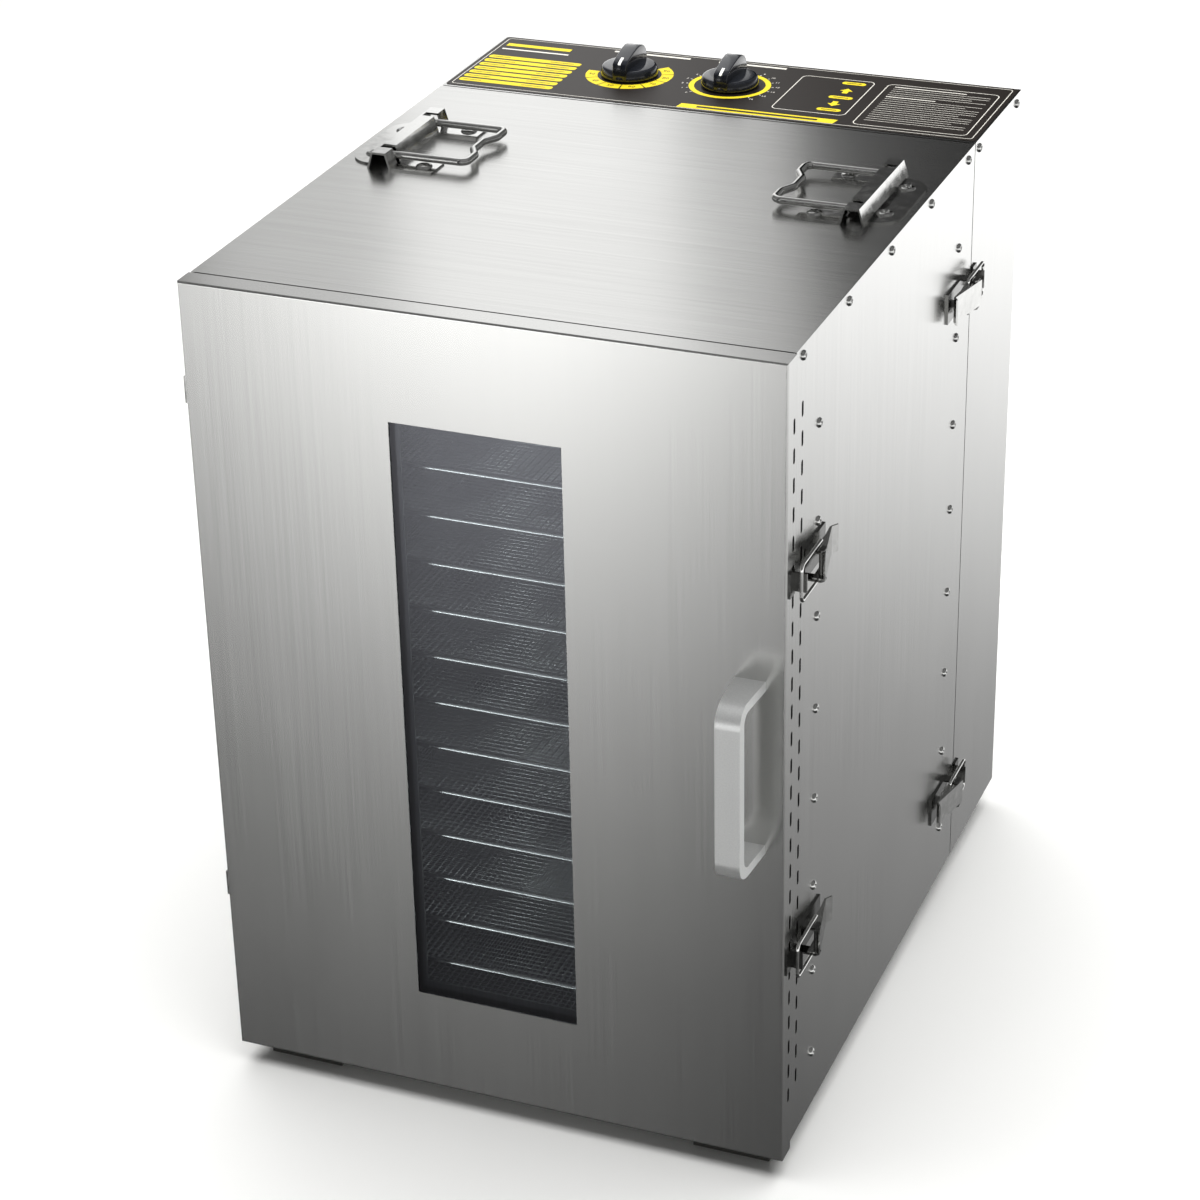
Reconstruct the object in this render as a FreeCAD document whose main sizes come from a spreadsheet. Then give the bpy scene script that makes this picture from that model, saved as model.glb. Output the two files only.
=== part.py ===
import FreeCAD, Part
import math
import os
import re
import Sketcher

# Food dehydrator: a sheet-steel cabinet with a hinged glazed door, fifteen
# sliding mesh trays, and a clip-on rear module that holds the fan, the heater
# and the controls.  Millimetres, +X to the right of someone facing the door,
# +Y to the back, +Z up.  The origin is under the middle of the whole object,
# on the surface it stands on.

SIZES = {
    # cabinet shell
    "cabinet_width": 428.0, "cabinet_depth": 411.5, "cabinet_bottom": 22.0,
    "cabinet_top": 633.0, "cabinet_front": 19.0, "sheet": 1.2, "flange": 14.0,
    "frame_sheet": 1.5, "frame_width": 17.0,
    # door
    "door_face": -265.0, "door_width": 430.0, "door_height": 615.0, "door_bottom": 18.0,
    "door_depth": 17.5, "door_fold_radius": 1.5, "window_width": 124.0, "window_height": 454.0,
    "window_left": 151.0, "window_bottom": 80.5, "glass_sheet": 4.0, "glass_lap": 12.0,
    "seal_sheet": 1.3, "seal_width": 9.0, "seal_inset": 8.0,
    # vent slots
    "slot_length": 11.0, "slot_width": 3.6, "slot_pitch": 20.7, "slot_count": 26,
    "slot_first": 44.3, "slot_row_door": 12.5, "slot_row_cabinet": 32.0,
    # pan-head screws
    "screw_head": 3.6, "screw_dome": 2.2, "screw_shank": 1.9, "screw_reach": 4.2,
    "large_head": 6.2, "large_dome": 2.0,
    "post_screw_first": 50.4, "post_screw_pitch": 70.9, "post_screw_count": 8,
    "front_post": 67.0, "rear_post": 395.0, "top_screw_first": 32.5,
    "top_screw_pitch": 95.4, "top_screw_count": 5, "top_screw_drop": 7.0,
    # trays and their rails
    "tray_count": 15, "tray_pitch": 36.4, "tray_first": 53.0, "tray_width": 385.0,
    "tray_depth": 385.0, "tray_front": 29.0, "tray_corner": 14.0, "rim_radius": 2.0,
    "mesh_wire": 1.4, "mesh_bar_count": 15, "mesh_cross_count": 7, "post_width": 16.0,
    "post_face": 196.0, "rail_width": 10.0, "rail_sheet": 1.5, "tray_gap": 0.3,
    # feet
    "foot_width": 58.0, "foot_length": 40.0, "foot_inset": 15.0, "foot_front": 19.0,
    "foot_rear": 372.0, "foot_chamfer": 0.8,
    # door handle
    "pull_centre": 190.0, "pull_width": 17.5, "pull_foot_width": 22.0, "pull_height": 133.0,
    "pull_bottom": 254.0, "pull_reach": 45.0, "pull_bar": 9.0, "pull_corner": 15.0,
    # toggle latches: the pin is the local origin of each latch
    "pin_height": 11.0, "pin_radius": 1.6, "pin_proud": 0.2, "latch_base_sheet": 1.5, "latch_base_back": 38.0,
    "latch_base_nose": 5.0, "latch_base_half": 11.7, "ear_inner": 10.3, "ear_sheet": 1.2,
    "ear_half": 4.5, "ear_bevel": 2.0, "ear_rise": 3.0, "bail_back": 9.0,
    "lever_half": 10.0, "lever_sheet": 1.2, "lever_nose": 4.0, "lever_rise": 4.0,
    "lever_length": 36.0, "lever_end": 6.5, "lever_end_low": 5.1, "tip_reach": 5.0,
    "tip_rise": 9.6, "tip_low": 8.5, "cheek_low": 5.6, "cheek_swell": 6.2, "cheek_root": 6.0,
    "cheek_middle": 22.0, "cheek_near": 14.0,
    "bail_height": 8.0, "bail_reach": 32.0, "bail_half": 13.2, "bail_wire": 1.25,
    "bail_corner": 4.0, "keeper_half": 9.0, "keeper_height": 10.0, "keeper_sheet": 1.5,
    "keeper_gap": 0.7, "running_gap": 0.05,
    "front_latch": 41.0, "rear_latch": 404.0, "front_upper_latch": 458.0,
    "front_lower_latch": 166.0, "rear_upper_latch": 509.0, "rear_lower_latch": 80.0,
    # carrying handles on top
    "carry_centre": 294.5, "carry_axis": 179.0, "ridge_length": 106.0, "ridge_half": 9.5,
    "ridge_top_half": 5.5, "ridge_height": 12.5, "bracket_sheet": 1.5, "plate_outer": 208.5,
    "plate_length": 92.0, "plate_round": 19.0, "tab_end": 138.0, "tab_width": 24.0, "tab_spacing": 81.0,
    "outer_screw": 195.0, "outer_screw_spacing": 53.0, "inner_screw": 148.5,
    "carry_wire": 2.8, "carry_lift": 6.6, "carry_grip": 117.0, "carry_half": 37.0,
    "carry_corner": 8.0, "carry_bow": 6.0, "leg_slot": 7.2,
    # door hinges
    "hinge_axis_out": 218.7, "hinge_axis_back": 18.25, "knuckle": 3.5, "hinge_pin": 1.6,
    "hinge_leaf": 2.0, "hinge_height": 60.0, "hinge_lower": 110.0, "hinge_upper": 505.0,
    "hinge_leaf_depth": 20.0, "hinge_setback": 2.0,
    # rear module
    "module_front": 432.0, "module_depth": 129.0, "baffle_back": 2.5, "baffle_sheet": 1.5,
    "fan_height": 327.0, "guard_slot_half": 8.0, "guard_slot_width": 6.0,
    "return_slot_across": 160.0, "return_slot_length": 40.0, "return_slot_width": 6.0,
    "return_slot_low": 240.0, "return_slot_span": 480.0, "return_slot_count": 17,
    "guard_slot_inner": 30.0, "guard_slot_middle": 52.0,
    "guard_slot_outer": 74.0, "louvre_length": 60.0, "louvre_width": 4.0,
    "louvre_pitch": 11.0, "louvre_count": 12, "module_screw_front": 442.7,
    "module_screw_rear": 547.8, "motor_radius": 36.0, "motor_length": 46.0,
    "strap_reach": 20.0, "strap_sheet": 6.0, "strap_half": 12.0, "hub_gap": 8.0,
    "fan_radius": 82.0, "fan_hub": 15.0, "fan_width": 24.0, "fan_front": 450.0,
    "blade_sheet": 2.0, "blade_count": 6, "blade_half": 10.0, "shaft_radius": 4.0, "heater_ring": 112.0,
    "heater_tube": 4.0, "heater_back": 462.0, "heater_end_across": 12.0, "heater_clip_half": 5.0,
    "gland_across": 150.0, "gland_height": 60.0, "gland_radius": 9.0, "gland_bore": 3.6,
    "gland_reach": 14.0, "gland_flange": 3.0,
    # knobs and the controls below them
    "knob_back": 500.0, "temperature_across": -84.0, "timer_across": -1.0, "knob_radius": 22.5,
    "knob_skirt": 8.0, "knob_height": 21.5, "knob_grip": 13.0, "knob_lift": 1.0,
    "control_side": 40.0, "control_depth": 28.0, "stem_radius": 3.0, "stem_depth": 16.0,
}

doc = FreeCAD.newDocument("food_dehydrator")
sheet = doc.addObject("Spreadsheet::Sheet", "Sizes")
for row, (alias, number) in enumerate(SIZES.items(), start=1):
    sheet.set(f"A{row}", alias)
    sheet.set(f"B{row}", str(number))
    sheet.setAlias(f"B{row}", alias)
doc.recompute()

# Planes named as formulas in the sheet's words.
HALF = "cabinet_width / 2"
FRONT = "(door_face + cabinet_front)"
SEAM = "(door_face + cabinet_front + cabinet_depth)"
MODULE = "(door_face + module_front)"
BACK = "(door_face + module_front + module_depth)"
FAN_LEVEL = "(door_bottom + fan_height)"

parts = {}


def size(alias):
    """Read one cell of the sheet."""
    return float(sheet.get(alias))


def bind(piece, prop, formula):
    """Tie a property to a formula written in the sheet's words."""
    linked = re.sub(r"[a-z_]{3,}", lambda word: "Sizes." + word.group(0), str(formula))
    piece.setExpression(prop, linked)


def place(piece, corner, rotation=None):
    """Put a piece at a corner given as three formulas."""
    if rotation is not None:
        piece.Placement.Rotation = rotation
    for letter, formula in zip("xyz", corner):
        bind(piece, f"Placement.Base.{letter}", formula)


def turn(axis, angle):
    return FreeCAD.Rotation(FreeCAD.Vector(*axis), angle)


def box(name, low, high):
    """A block between two corners given as formulas."""
    piece = doc.addObject("Part::Box", name)
    for prop, near, far in zip(("Length", "Width", "Height"), low, high):
        bind(piece, prop, f"({far}) - ({near})")
    place(piece, low)
    return piece


AXES = {"x": ((0, 1, 0), 90), "y": ((1, 0, 0), -90), "z": ((0, 0, 1), 0)}


def rod(name, start, axis, length, radius):
    """A round bar from a start point along +x, +y or +z."""
    piece = doc.addObject("Part::Cylinder", name)
    bind(piece, "Radius", radius)
    bind(piece, "Height", length)
    place(piece, start, turn(*AXES[axis]))
    return piece


def fuse(name, pieces):
    piece = doc.addObject("Part::MultiFuse", name)
    piece.Shapes = pieces
    return piece


def cut(name, base, tools):
    """Take tools away from a base."""
    piece = doc.addObject("Part::Cut", name)
    piece.Base = base
    piece.Tool = tools[0] if len(tools) == 1 else fuse(name + "_tools", tools)
    return piece


def group(name, pieces):
    """Several separate solids that make one node."""
    piece = doc.addObject("Part::Compound", name)
    piece.Links = pieces
    return piece


def copy(name, master, corner, rotation=None):
    """One more of a repeated piece, linked to the first."""
    piece = doc.addObject("App::Link", name)
    piece.LinkedObject = master
    place(piece, corner, rotation)
    return piece


def node(name, piece):
    """Register a finished sub-part under the name of its file."""
    piece.Label = name
    parts[name] = piece
    return piece


# Bodies and their sketches.  A body is drawn from its own corner or centre,
# and its placement puts it in the object.

def body(name, corner=("0", "0", "0"), rotation=None):
    piece = doc.addObject("PartDesign::Body", name)
    place(piece, corner, rotation)
    return piece


def sketch(owner, name, plane, lift="0"):
    """A sketch on one of the body's own planes, lifted along its normal."""
    drawing = owner.newObject("Sketcher::SketchObject", name)
    origin_plane = [item for item in owner.Origin.OriginFeatures if item.Role == plane][0]
    drawing.AttachmentSupport = [(origin_plane, "")]
    drawing.MapMode = "FlatFace"
    bind(drawing, "AttachmentOffset.Base.z", lift)
    return drawing


def pin(drawing, geometry, vertex, point):
    """Hold one vertex of a sketch at a pair of formulas."""
    for kind, formula in zip(("DistanceX", "DistanceY"), point):
        index = drawing.addConstraint(Sketcher.Constraint(kind, -1, 1, geometry, vertex, 1.0))
        bind(drawing, f"Constraints[{index}]", formula)


def outline(drawing, points):
    """A closed polygon whose corners are pairs of formulas."""
    first = drawing.GeometryCount
    count = len(points)
    for step in range(count):
        near = FreeCAD.Vector(math.cos(step), math.sin(step), 0)
        far = FreeCAD.Vector(math.cos(step + 1), math.sin(step + 1), 0)
        drawing.addGeometry(Part.LineSegment(near, far), False)
    for step in range(count):
        following = first + (step + 1) % count
        drawing.addConstraint(Sketcher.Constraint("Coincident", first + step, 2, following, 1))
    for step, point in enumerate(points):
        pin(drawing, first + step, 1, point)


def rectangle(drawing, low, high):
    """A rectangle between two corners."""
    outline(drawing, [low, (high[0], low[1]), high, (low[0], high[1])])


def circle(drawing, centre, radius):
    """A circle with its centre and radius as formulas."""
    ring = Part.Circle(FreeCAD.Vector(1, 1, 0), FreeCAD.Vector(0, 0, 1), 1.0)
    index = drawing.addGeometry(ring, False)
    limit = drawing.addConstraint(Sketcher.Constraint("Radius", index, 1.0))
    bind(drawing, f"Constraints[{limit}]", radius)
    pin(drawing, index, 3, centre)


def pad(owner, name, drawing, length, reverse=False, middle=False):
    """Grow a sketch into a solid, both ways from its plane if middle is set."""
    feature = owner.newObject("PartDesign::Pad", name)
    feature.Profile = drawing
    feature.Reversed = reverse
    feature.Midplane = middle
    bind(feature, "Length", length)
    return feature


def pocket(owner, name, drawing, depth, reverse=False, middle=False):
    """Cut a sketch out of the body, against its plane's normal unless reversed."""
    feature = owner.newObject("PartDesign::Pocket", name)
    feature.Profile = drawing
    feature.Reversed = reverse
    feature.Midplane = middle
    bind(feature, "Length", depth)
    return feature


def repeat(owner, name, feature, drawing, axis, span, count):
    """Repeat a feature in a straight row, along an axis of its sketch."""
    row_pattern = owner.newObject("PartDesign::LinearPattern", name)
    row_pattern.Originals = [feature]
    row_pattern.Direction = (drawing, [axis])
    bind(row_pattern, "Length", span)
    bind(row_pattern, "Occurrences", count)
    owner.Tip = row_pattern
    return row_pattern


def rounded_loop(points, radius):
    """A closed wire round a polygon, with an arc at every corner."""
    edges = []
    count = len(points)
    entries, exits = [], []
    for step, corner in enumerate(points):
        back = (points[step - 1] - corner).normalize()
        on = (points[(step + 1) % count] - corner).normalize()
        half_turn = back.getAngle(on) / 2
        run = radius / math.tan(half_turn)
        centre = corner + (back + on).normalize() * (radius / math.sin(half_turn))
        entries.append(corner + back * run)
        exits.append(corner + on * run)
        nearest = centre + (corner - centre).normalize() * radius
        edges.append(Part.Arc(entries[-1], nearest, exits[-1]).toShape())
    for step in range(count):
        start, end = exits[step], entries[(step + 1) % count]
        edges.append(Part.LineSegment(start, end).toShape())
    return Part.Wire(Part.__sortEdges__(edges))


def wire_loop(name, points, corner_radius, wire_radius):
    """A closed loop of round wire, swept along its rounded centre line."""
    path = rounded_loop(points, corner_radius)
    start = path.Edges[0].valueAt(path.Edges[0].FirstParameter)
    heading = path.Edges[0].tangentAt(path.Edges[0].FirstParameter)
    section = Part.Wire(Part.makeCircle(wire_radius, start, heading))
    piece = doc.addObject("Part::Feature", name)
    piece.Shape = path.makePipeShell([section], True, False)
    return piece


# Side panels: flat sheets with a column of screw holes over each post, a row
# of them under the top edge, and vent slots near the door on the right side.

def screw_row(owner, name, plane, lift, start, axis, pitch, count):
    """A straight row of screw clearance holes."""
    drawing = sketch(owner, name + "_drawing", plane, lift)
    circle(drawing, start, "screw_shank + running_gap")
    hole = pocket(owner, name, drawing, "sheet * 4", middle=True)
    repeat(owner, name + "_row", hole, drawing, axis, f"{pitch} * ({count} - 1)", count)


def slot_row(owner, name, lift, across):
    """The upright row of vent slots, each closed by a half circle at both ends."""
    drawing = sketch(owner, name + "_drawing", "YZ_Plane", lift)
    left, right = f"{across} - slot_width / 2", f"{across} + slot_width / 2"
    low = "slot_first + slot_width / 2"
    high = "slot_first + slot_length - slot_width / 2"
    for near, far in (((left, low), (left, high)), ((right, high), (right, low))):
        line = Part.LineSegment(FreeCAD.Vector(0, 0, 0), FreeCAD.Vector(1, 1, 0))
        index = drawing.addGeometry(line, False)
        pin(drawing, index, 1, near)
        pin(drawing, index, 2, far)
    doc.recompute()
    left_line, right_line = drawing.Geometry
    for start, first, second, ends in (
            (0.0, right_line.StartPoint, left_line.EndPoint, ((1, 1), (0, 2))),
            (math.pi, left_line.StartPoint, right_line.EndPoint, ((0, 1), (1, 2)))):
        ring = Part.Circle((first + second) / 2, FreeCAD.Vector(0, 0, 1), (first - second).Length / 2)
        index = drawing.addGeometry(Part.ArcOfCircle(ring, start, start + math.pi), False)
        for vertex, (line, line_end) in zip((1, 2), ends):
            drawing.addConstraint(Sketcher.Constraint("Coincident", index, vertex, line, line_end))
        limit = drawing.addConstraint(
            Sketcher.Constraint("DistanceY", -1, 1, index, 3, (first.y + second.y) / 2))
        bind(drawing, f"Constraints[{limit}]", high if start == 0.0 else low)
    slot = pocket(owner, name, drawing, "sheet * 4", middle=True)
    repeat(owner, name + "_row", slot, drawing, "V_Axis", "slot_pitch * (slot_count - 1)",
           "slot_count")


def side_panel(name, corner_across, slotted):
    panel = body(name, (corner_across, FRONT, "cabinet_bottom"))
    outside = sketch(panel, name + "_outline", "YZ_Plane")
    rectangle(outside, ("0", "0"), ("cabinet_depth", "cabinet_top - cabinet_bottom"))
    pad(panel, name + "_sheet", outside, "sheet")
    level = "door_bottom - cabinet_bottom"
    for post in ("front_post", "rear_post"):
        screw_row(panel, f"{name}_{post}_holes", "YZ_Plane", "0",
                  (f"{post} - cabinet_front", f"post_screw_first + {level}"), "V_Axis",
                  "post_screw_pitch", "post_screw_count")
    screw_row(panel, name + "_top_holes", "YZ_Plane", "0",
              ("top_screw_first - cabinet_front", "cabinet_top - cabinet_bottom - top_screw_drop"),
              "H_Axis", "top_screw_pitch", "top_screw_count")
    if slotted:
        slot_row(panel, name + "_slot", "0", "slot_row_cabinet - cabinet_front")
    return node(name, panel)


side_panel("right_side_panel", f"{HALF} - sheet", True)
side_panel("left_side_panel", f"-{HALF}", False)


def folded_panel(name, sheet_low, sheet_high, flange_low, flange_high):
    """A flat sheet between the side panels with a flange down each side."""
    inner = f"({HALF} - sheet)"
    pieces = [box(name + "_sheet", (f"-{inner}", FRONT, sheet_low), (inner, SEAM, sheet_high))]
    for side, sign in (("left", "-1"), ("right", "1")):
        near, far = f"{sign} * {inner}", f"{sign} * ({inner} - sheet)"
        low, high = (near, far) if sign == "-1" else (far, near)
        pieces.append(box(f"{name}_{side}_flange", (low, FRONT, flange_low),
                          (high, SEAM, flange_high)))
    return fuse(name + "_steel", pieces)


node("top_panel", folded_panel("top_panel", "cabinet_top - sheet", "cabinet_top",
                               "cabinet_top - flange", "cabinet_top"))
node("base_panel", folded_panel("base_panel", "cabinet_bottom", "cabinet_bottom + sheet",
                                "cabinet_bottom", "cabinet_bottom + flange"))


# End frames: four flat strips round the mouth of the chamber at each end.

def end_frame(name, near, far):
    outer = f"({HALF} - sheet * 2)"
    inner = f"({HALF} - sheet * 2 - frame_width)"
    low, high = "(cabinet_bottom + sheet)", "(cabinet_top - sheet)"
    bottom, top = f"({low} + frame_width)", f"({high} - frame_width)"
    return [
        box(name + "_left", (f"-{outer}", near, low), (f"-{inner}", far, high)),
        box(name + "_right", (inner, near, low), (outer, far, high)),
        box(name + "_bottom", (f"-{inner}", near, low), (inner, far, bottom)),
        box(name + "_top", (f"-{inner}", near, top), (inner, far, high)),
    ]


node("end_frames", group("end_frame_strips", [
    *end_frame("front_frame", FRONT, f"{FRONT} + frame_sheet"),
    *end_frame("rear_frame", f"{SEAM} - frame_sheet", SEAM),
]))

# Tray racks: two posts a side with a flat rail for every tray.
TRAY_LEVEL = "(door_bottom + tray_first + tray_pitch * {})"


def tray_rack(side, sign):
    """Posts and rails on one side of the chamber."""
    wall = f"({HALF} - sheet)"
    edge = "(post_face - rail_width)"
    pieces = []
    for post in ("front_post", "rear_post"):
        low, high = ("post_face", wall) if sign > 0 else (f"-{wall}", "-post_face")
        pieces.append(box(f"{side}_{post}", (low, f"door_face + {post} - post_width / 2",
                          "cabinet_bottom + sheet + frame_width"),
                          (high, f"door_face + {post} + post_width / 2",
                           "cabinet_top - sheet - frame_width")))
    low, high = (edge, "post_face") if sign > 0 else ("-post_face", f"-{edge}")
    for number in range(int(size("tray_count"))):
        top = f"{TRAY_LEVEL.format(number)} - rim_radius - tray_gap"
        pieces.append(box(f"{side}_rail_{number + 1}",
                          (low, "door_face + tray_front", f"{top} - rail_sheet"),
                          (high, "door_face + tray_front + tray_depth", top)))
    return pieces


node("tray_racks", group("tray_rack_strips", tray_rack("left", -1) + tray_rack("right", 1)))

# Feet: moulded blocks under the four corners of the base.
foot = body("foot")
foot_drawing = sketch(foot, "foot_outline", "XY_Plane")
rectangle(foot_drawing, ("0", "0"), ("foot_width", "foot_length"))
foot_block = pad(foot, "foot_block", foot_drawing, "cabinet_bottom")
doc.recompute()
low_edges = [f"Edge{number}" for number, edge in enumerate(foot_block.Shape.Edges, start=1)
             if edge.BoundBox.ZMax < 0.01]
foot_bevel = foot.newObject("PartDesign::Chamfer", "foot_bevel")
foot_bevel.Base = (foot_block, low_edges)
bind(foot_bevel, "Size", "foot_chamfer")
feet = []
for depth in ("foot_front", "foot_rear"):
    for side, across in (("left", f"-({HALF} - foot_inset)"),
                         ("right", f"{HALF} - foot_inset - foot_width")):
        feet.append(copy(f"{depth}_{side}", foot, (across, f"door_face + {depth}", "0")))
node("feet", group("foot_set", feet))

# Pan-head screws, each size drawn once with the head pointing along +Z.

def pan_head(name, head, dome):
    """A screw with a domed head of one radius and height."""
    piece = body(name)
    shank_drawing = sketch(piece, name + "_shank_outline", "XY_Plane")
    circle(shank_drawing, ("0", "0"), "screw_shank")
    pad(piece, name + "_shank", shank_drawing, "screw_reach", reverse=True)
    head_drawing = sketch(piece, name + "_head_outline", "XY_Plane")
    circle(head_drawing, ("0", "0"), head)
    cap = pad(piece, name + "_cap", head_drawing, dome)
    doc.recompute()
    rim_edges = [f"Edge{number}" for number, edge in enumerate(cap.Shape.Edges, start=1)
                 if edge.BoundBox.ZMin > size(dome) - 0.01]
    crown = piece.newObject("PartDesign::Fillet", name + "_crown")
    crown.Base = (cap, rim_edges)
    bind(crown, "Radius", f"{dome} * 0.75")
    return piece


screw = pan_head("pan_head_screw", "screw_head", "screw_dome")
handle_screw = pan_head("handle_screw", "large_head", "large_dome")
OUTWARD = {1: turn((0, 1, 0), 90), -1: turn((0, 1, 0), -90)}
cabinet_screws = []
for side, sign in (("left", -1), ("right", 1)):
    for post in ("front_post", "rear_post"):
        for number in range(int(size("post_screw_count"))):
            corner = (f"{sign} * {HALF}", f"door_face + {post}",
                      f"door_bottom + post_screw_first + post_screw_pitch * {number}")
            name = f"{side}_{post}_screw_{number + 1}"
            cabinet_screws.append(copy(name, screw, corner, OUTWARD[sign]))
    for number in range(int(size("top_screw_count"))):
        corner = (f"{sign} * {HALF}", f"door_face + top_screw_first + top_screw_pitch * {number}",
                  "cabinet_top - top_screw_drop")
        name = f"{side}_top_screw_{number + 1}"
        cabinet_screws.append(copy(name, screw, corner, OUTWARD[sign]))
    for row, across, spacing in (("outer", "outer_screw", "outer_screw_spacing"),
                                 ("inner", "inner_screw", "tab_spacing")):
        for end in (-1, 1):
            corner = (f"{sign} * {across}", f"door_face + carry_centre + {end} * {spacing} / 2",
                      "cabinet_top + bracket_sheet")
            name = f"{side}_{row}_handle_screw_{end + 2}"
            cabinet_screws.append(copy(name, handle_screw, corner))
node("cabinet_screws", group("cabinet_screw_set", cabinet_screws))

# Carrying handles: a pressed bracket with a hollow ridge that holds the
# pivot bar of a wire bail.  Drawn for the right side, turned round for the left.
bracket = body("carry_bracket")
ridge_drawing = sketch(bracket, "ridge_outline", "XZ_Plane")
outline(ridge_drawing, [
    ("carry_axis - ridge_half", "0"), ("carry_axis - ridge_top_half", "ridge_height"),
    ("carry_axis + ridge_top_half", "ridge_height"), ("carry_axis + ridge_half", "0"),
])
pad(bracket, "ridge", ridge_drawing, "ridge_length", middle=True)
plate_drawing = sketch(bracket, "plate_outline", "XY_Plane")
rectangle(plate_drawing, ("carry_axis", "-plate_length / 2"), ("plate_outer", "plate_length / 2"))
outer_plate = pad(bracket, "outer_plate", plate_drawing, "bracket_sheet")
doc.recompute()
far_edges = [f"Edge{number}" for number, edge in enumerate(outer_plate.Shape.Edges, start=1)
             if edge.BoundBox.XMin > size("plate_outer") - 0.01 and edge.BoundBox.YLength < 0.01]
plate_corners = bracket.newObject("PartDesign::Fillet", "plate_corners")
plate_corners.Base = (outer_plate, far_edges)
bind(plate_corners, "Radius", "plate_round")
tab_drawing = sketch(bracket, "tab_outline", "XY_Plane")
for end in (-1, 1):
    middle = f"{end} * tab_spacing / 2"
    rectangle(tab_drawing, ("tab_end", f"{middle} - tab_width / 2"),
              ("carry_axis", f"{middle} + tab_width / 2"))
pad(bracket, "inner_tabs", tab_drawing, "bracket_sheet")
hollow_drawing = sketch(bracket, "hollow_outline", "XZ_Plane")
outline(hollow_drawing, [
    ("carry_axis - ridge_half + bracket_sheet", "-1"),
    ("carry_axis - ridge_half + bracket_sheet", "0"),
    ("carry_axis - ridge_top_half + bracket_sheet / 2", "ridge_height - bracket_sheet"),
    ("carry_axis + ridge_top_half - bracket_sheet / 2", "ridge_height - bracket_sheet"),
    ("carry_axis + ridge_half - bracket_sheet", "0"),
    ("carry_axis + ridge_half - bracket_sheet", "-1"),
])
pocket(bracket, "ridge_hollow", hollow_drawing, "ridge_length * 2", middle=True)
leg_drawing = sketch(bracket, "leg_slot_outline", "XY_Plane", "bracket_sheet")
for end in (-1, 1):
    middle = f"{end} * carry_half"
    rectangle(leg_drawing, ("carry_axis - ridge_half * 2", f"{middle} - leg_slot / 2"),
              ("carry_axis + ridge_top_half - bracket_sheet", f"{middle} + leg_slot / 2"))
pocket(bracket, "leg_slots", leg_drawing, "ridge_height", reverse=True)
plate_holes = sketch(bracket, "bracket_hole_outline", "XY_Plane")
for end in (-1, 1):
    circle(plate_holes, ("outer_screw", f"{end} * outer_screw_spacing / 2"),
           "screw_shank + running_gap")
    circle(plate_holes, ("inner_screw", f"{end} * tab_spacing / 2"), "screw_shank + running_gap")
pocket(bracket, "bracket_holes", plate_holes, "bracket_sheet * 4", middle=True)
CARRY = ("0", "door_face + carry_centre", "cabinet_top")
node("handle_brackets", group("handle_bracket_pair", [
    copy("right_bracket", bracket, CARRY),
    copy("left_bracket", bracket, CARRY, turn((0, 0, 1), 180)),
]))


def handle_bail(name, sign):
    """The wire bail: a pivot bar, two legs and a grip bowed back in its middle."""
    axis, grip = sign * size("carry_axis"), sign * size("carry_grip")
    half, bow = size("carry_half"), sign * size("carry_bow")
    corners = [(axis, -half), (grip, -half), (grip, -half * 0.55), (grip + bow, -half * 0.25),
               (grip + bow, half * 0.25), (grip, half * 0.55), (grip, half), (axis, half)]
    lift = size("carry_lift")
    points = [FreeCAD.Vector(across, along, lift) for across, along in corners]
    bail = wire_loop(name + "_wire", points, size("carry_corner") * 0.7, size("carry_wire"))
    place(bail, CARRY)
    return node(name, bail)


handle_bail("handle_bail_right", 1)
handle_bail("handle_bail_left", -1)

# Toggle latches.  Each is drawn with its pin axis as the local Z axis: local X
# points along the panel to the keeper and local Y points out of the panel.
HALF_TURN = turn((1, 1, 0), 180)
LATCHES = {
    "front_upper_right": (HALF, "front_latch", "front_upper_latch", turn((0, 0, 1), -90)),
    "front_lower_right": (HALF, "front_latch", "front_lower_latch", turn((0, 0, 1), -90)),
    "rear_upper_right": (HALF, "rear_latch", "rear_upper_latch", HALF_TURN),
    "rear_lower_right": (HALF, "rear_latch", "rear_lower_latch", HALF_TURN),
    "rear_upper_left": (f"-{HALF}", "rear_latch", "rear_upper_latch", turn((0, 0, 1), 90)),
    "rear_lower_left": (f"-{HALF}", "rear_latch", "rear_lower_latch", turn((0, 0, 1), 90)),
}

latch_base = body("latch_base")
base_drawing = sketch(latch_base, "latch_base_outline", "XY_Plane")
rectangle(base_drawing, ("-latch_base_back", "0"), ("latch_base_nose", "latch_base_sheet"))
pad(latch_base, "latch_base_plate", base_drawing, "latch_base_half * 2", middle=True)
ear_drawing = sketch(latch_base, "latch_ear_outline", "XY_Plane")
outline(ear_drawing, [
    ("-ear_half", "0"), ("ear_half", "0"), ("ear_half", "pin_height + ear_rise - ear_bevel"),
    ("ear_half - ear_bevel", "pin_height + ear_rise"),
    ("ear_bevel - ear_half", "pin_height + ear_rise"),
    ("-ear_half", "pin_height + ear_rise - ear_bevel"),
])
pad(latch_base, "latch_ears", ear_drawing, "(ear_inner + ear_sheet) * 2", middle=True)
ear_gap = sketch(latch_base, "latch_ear_gap", "XY_Plane")
rectangle(ear_gap, ("-ear_half * 2", "latch_base_sheet"), ("ear_half * 2", "pin_height * 2"))
pocket(latch_base, "latch_ear_opening", ear_gap, "ear_inner * 2", middle=True)
pin_hole = sketch(latch_base, "latch_pin_hole", "XY_Plane")
circle(pin_hole, ("0", "pin_height"), "pin_radius")
pocket(latch_base, "latch_pin_bore", pin_hole, "ear_inner * 4", middle=True)

latch_pin = body("latch_pin")
pin_drawing = sketch(latch_pin, "latch_pin_outline", "XY_Plane")
circle(pin_drawing, ("0", "pin_height"), "pin_radius")
pad(latch_pin, "latch_pin_bar", pin_drawing, "(ear_inner + ear_sheet + pin_proud) * 2",
    middle=True)

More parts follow.
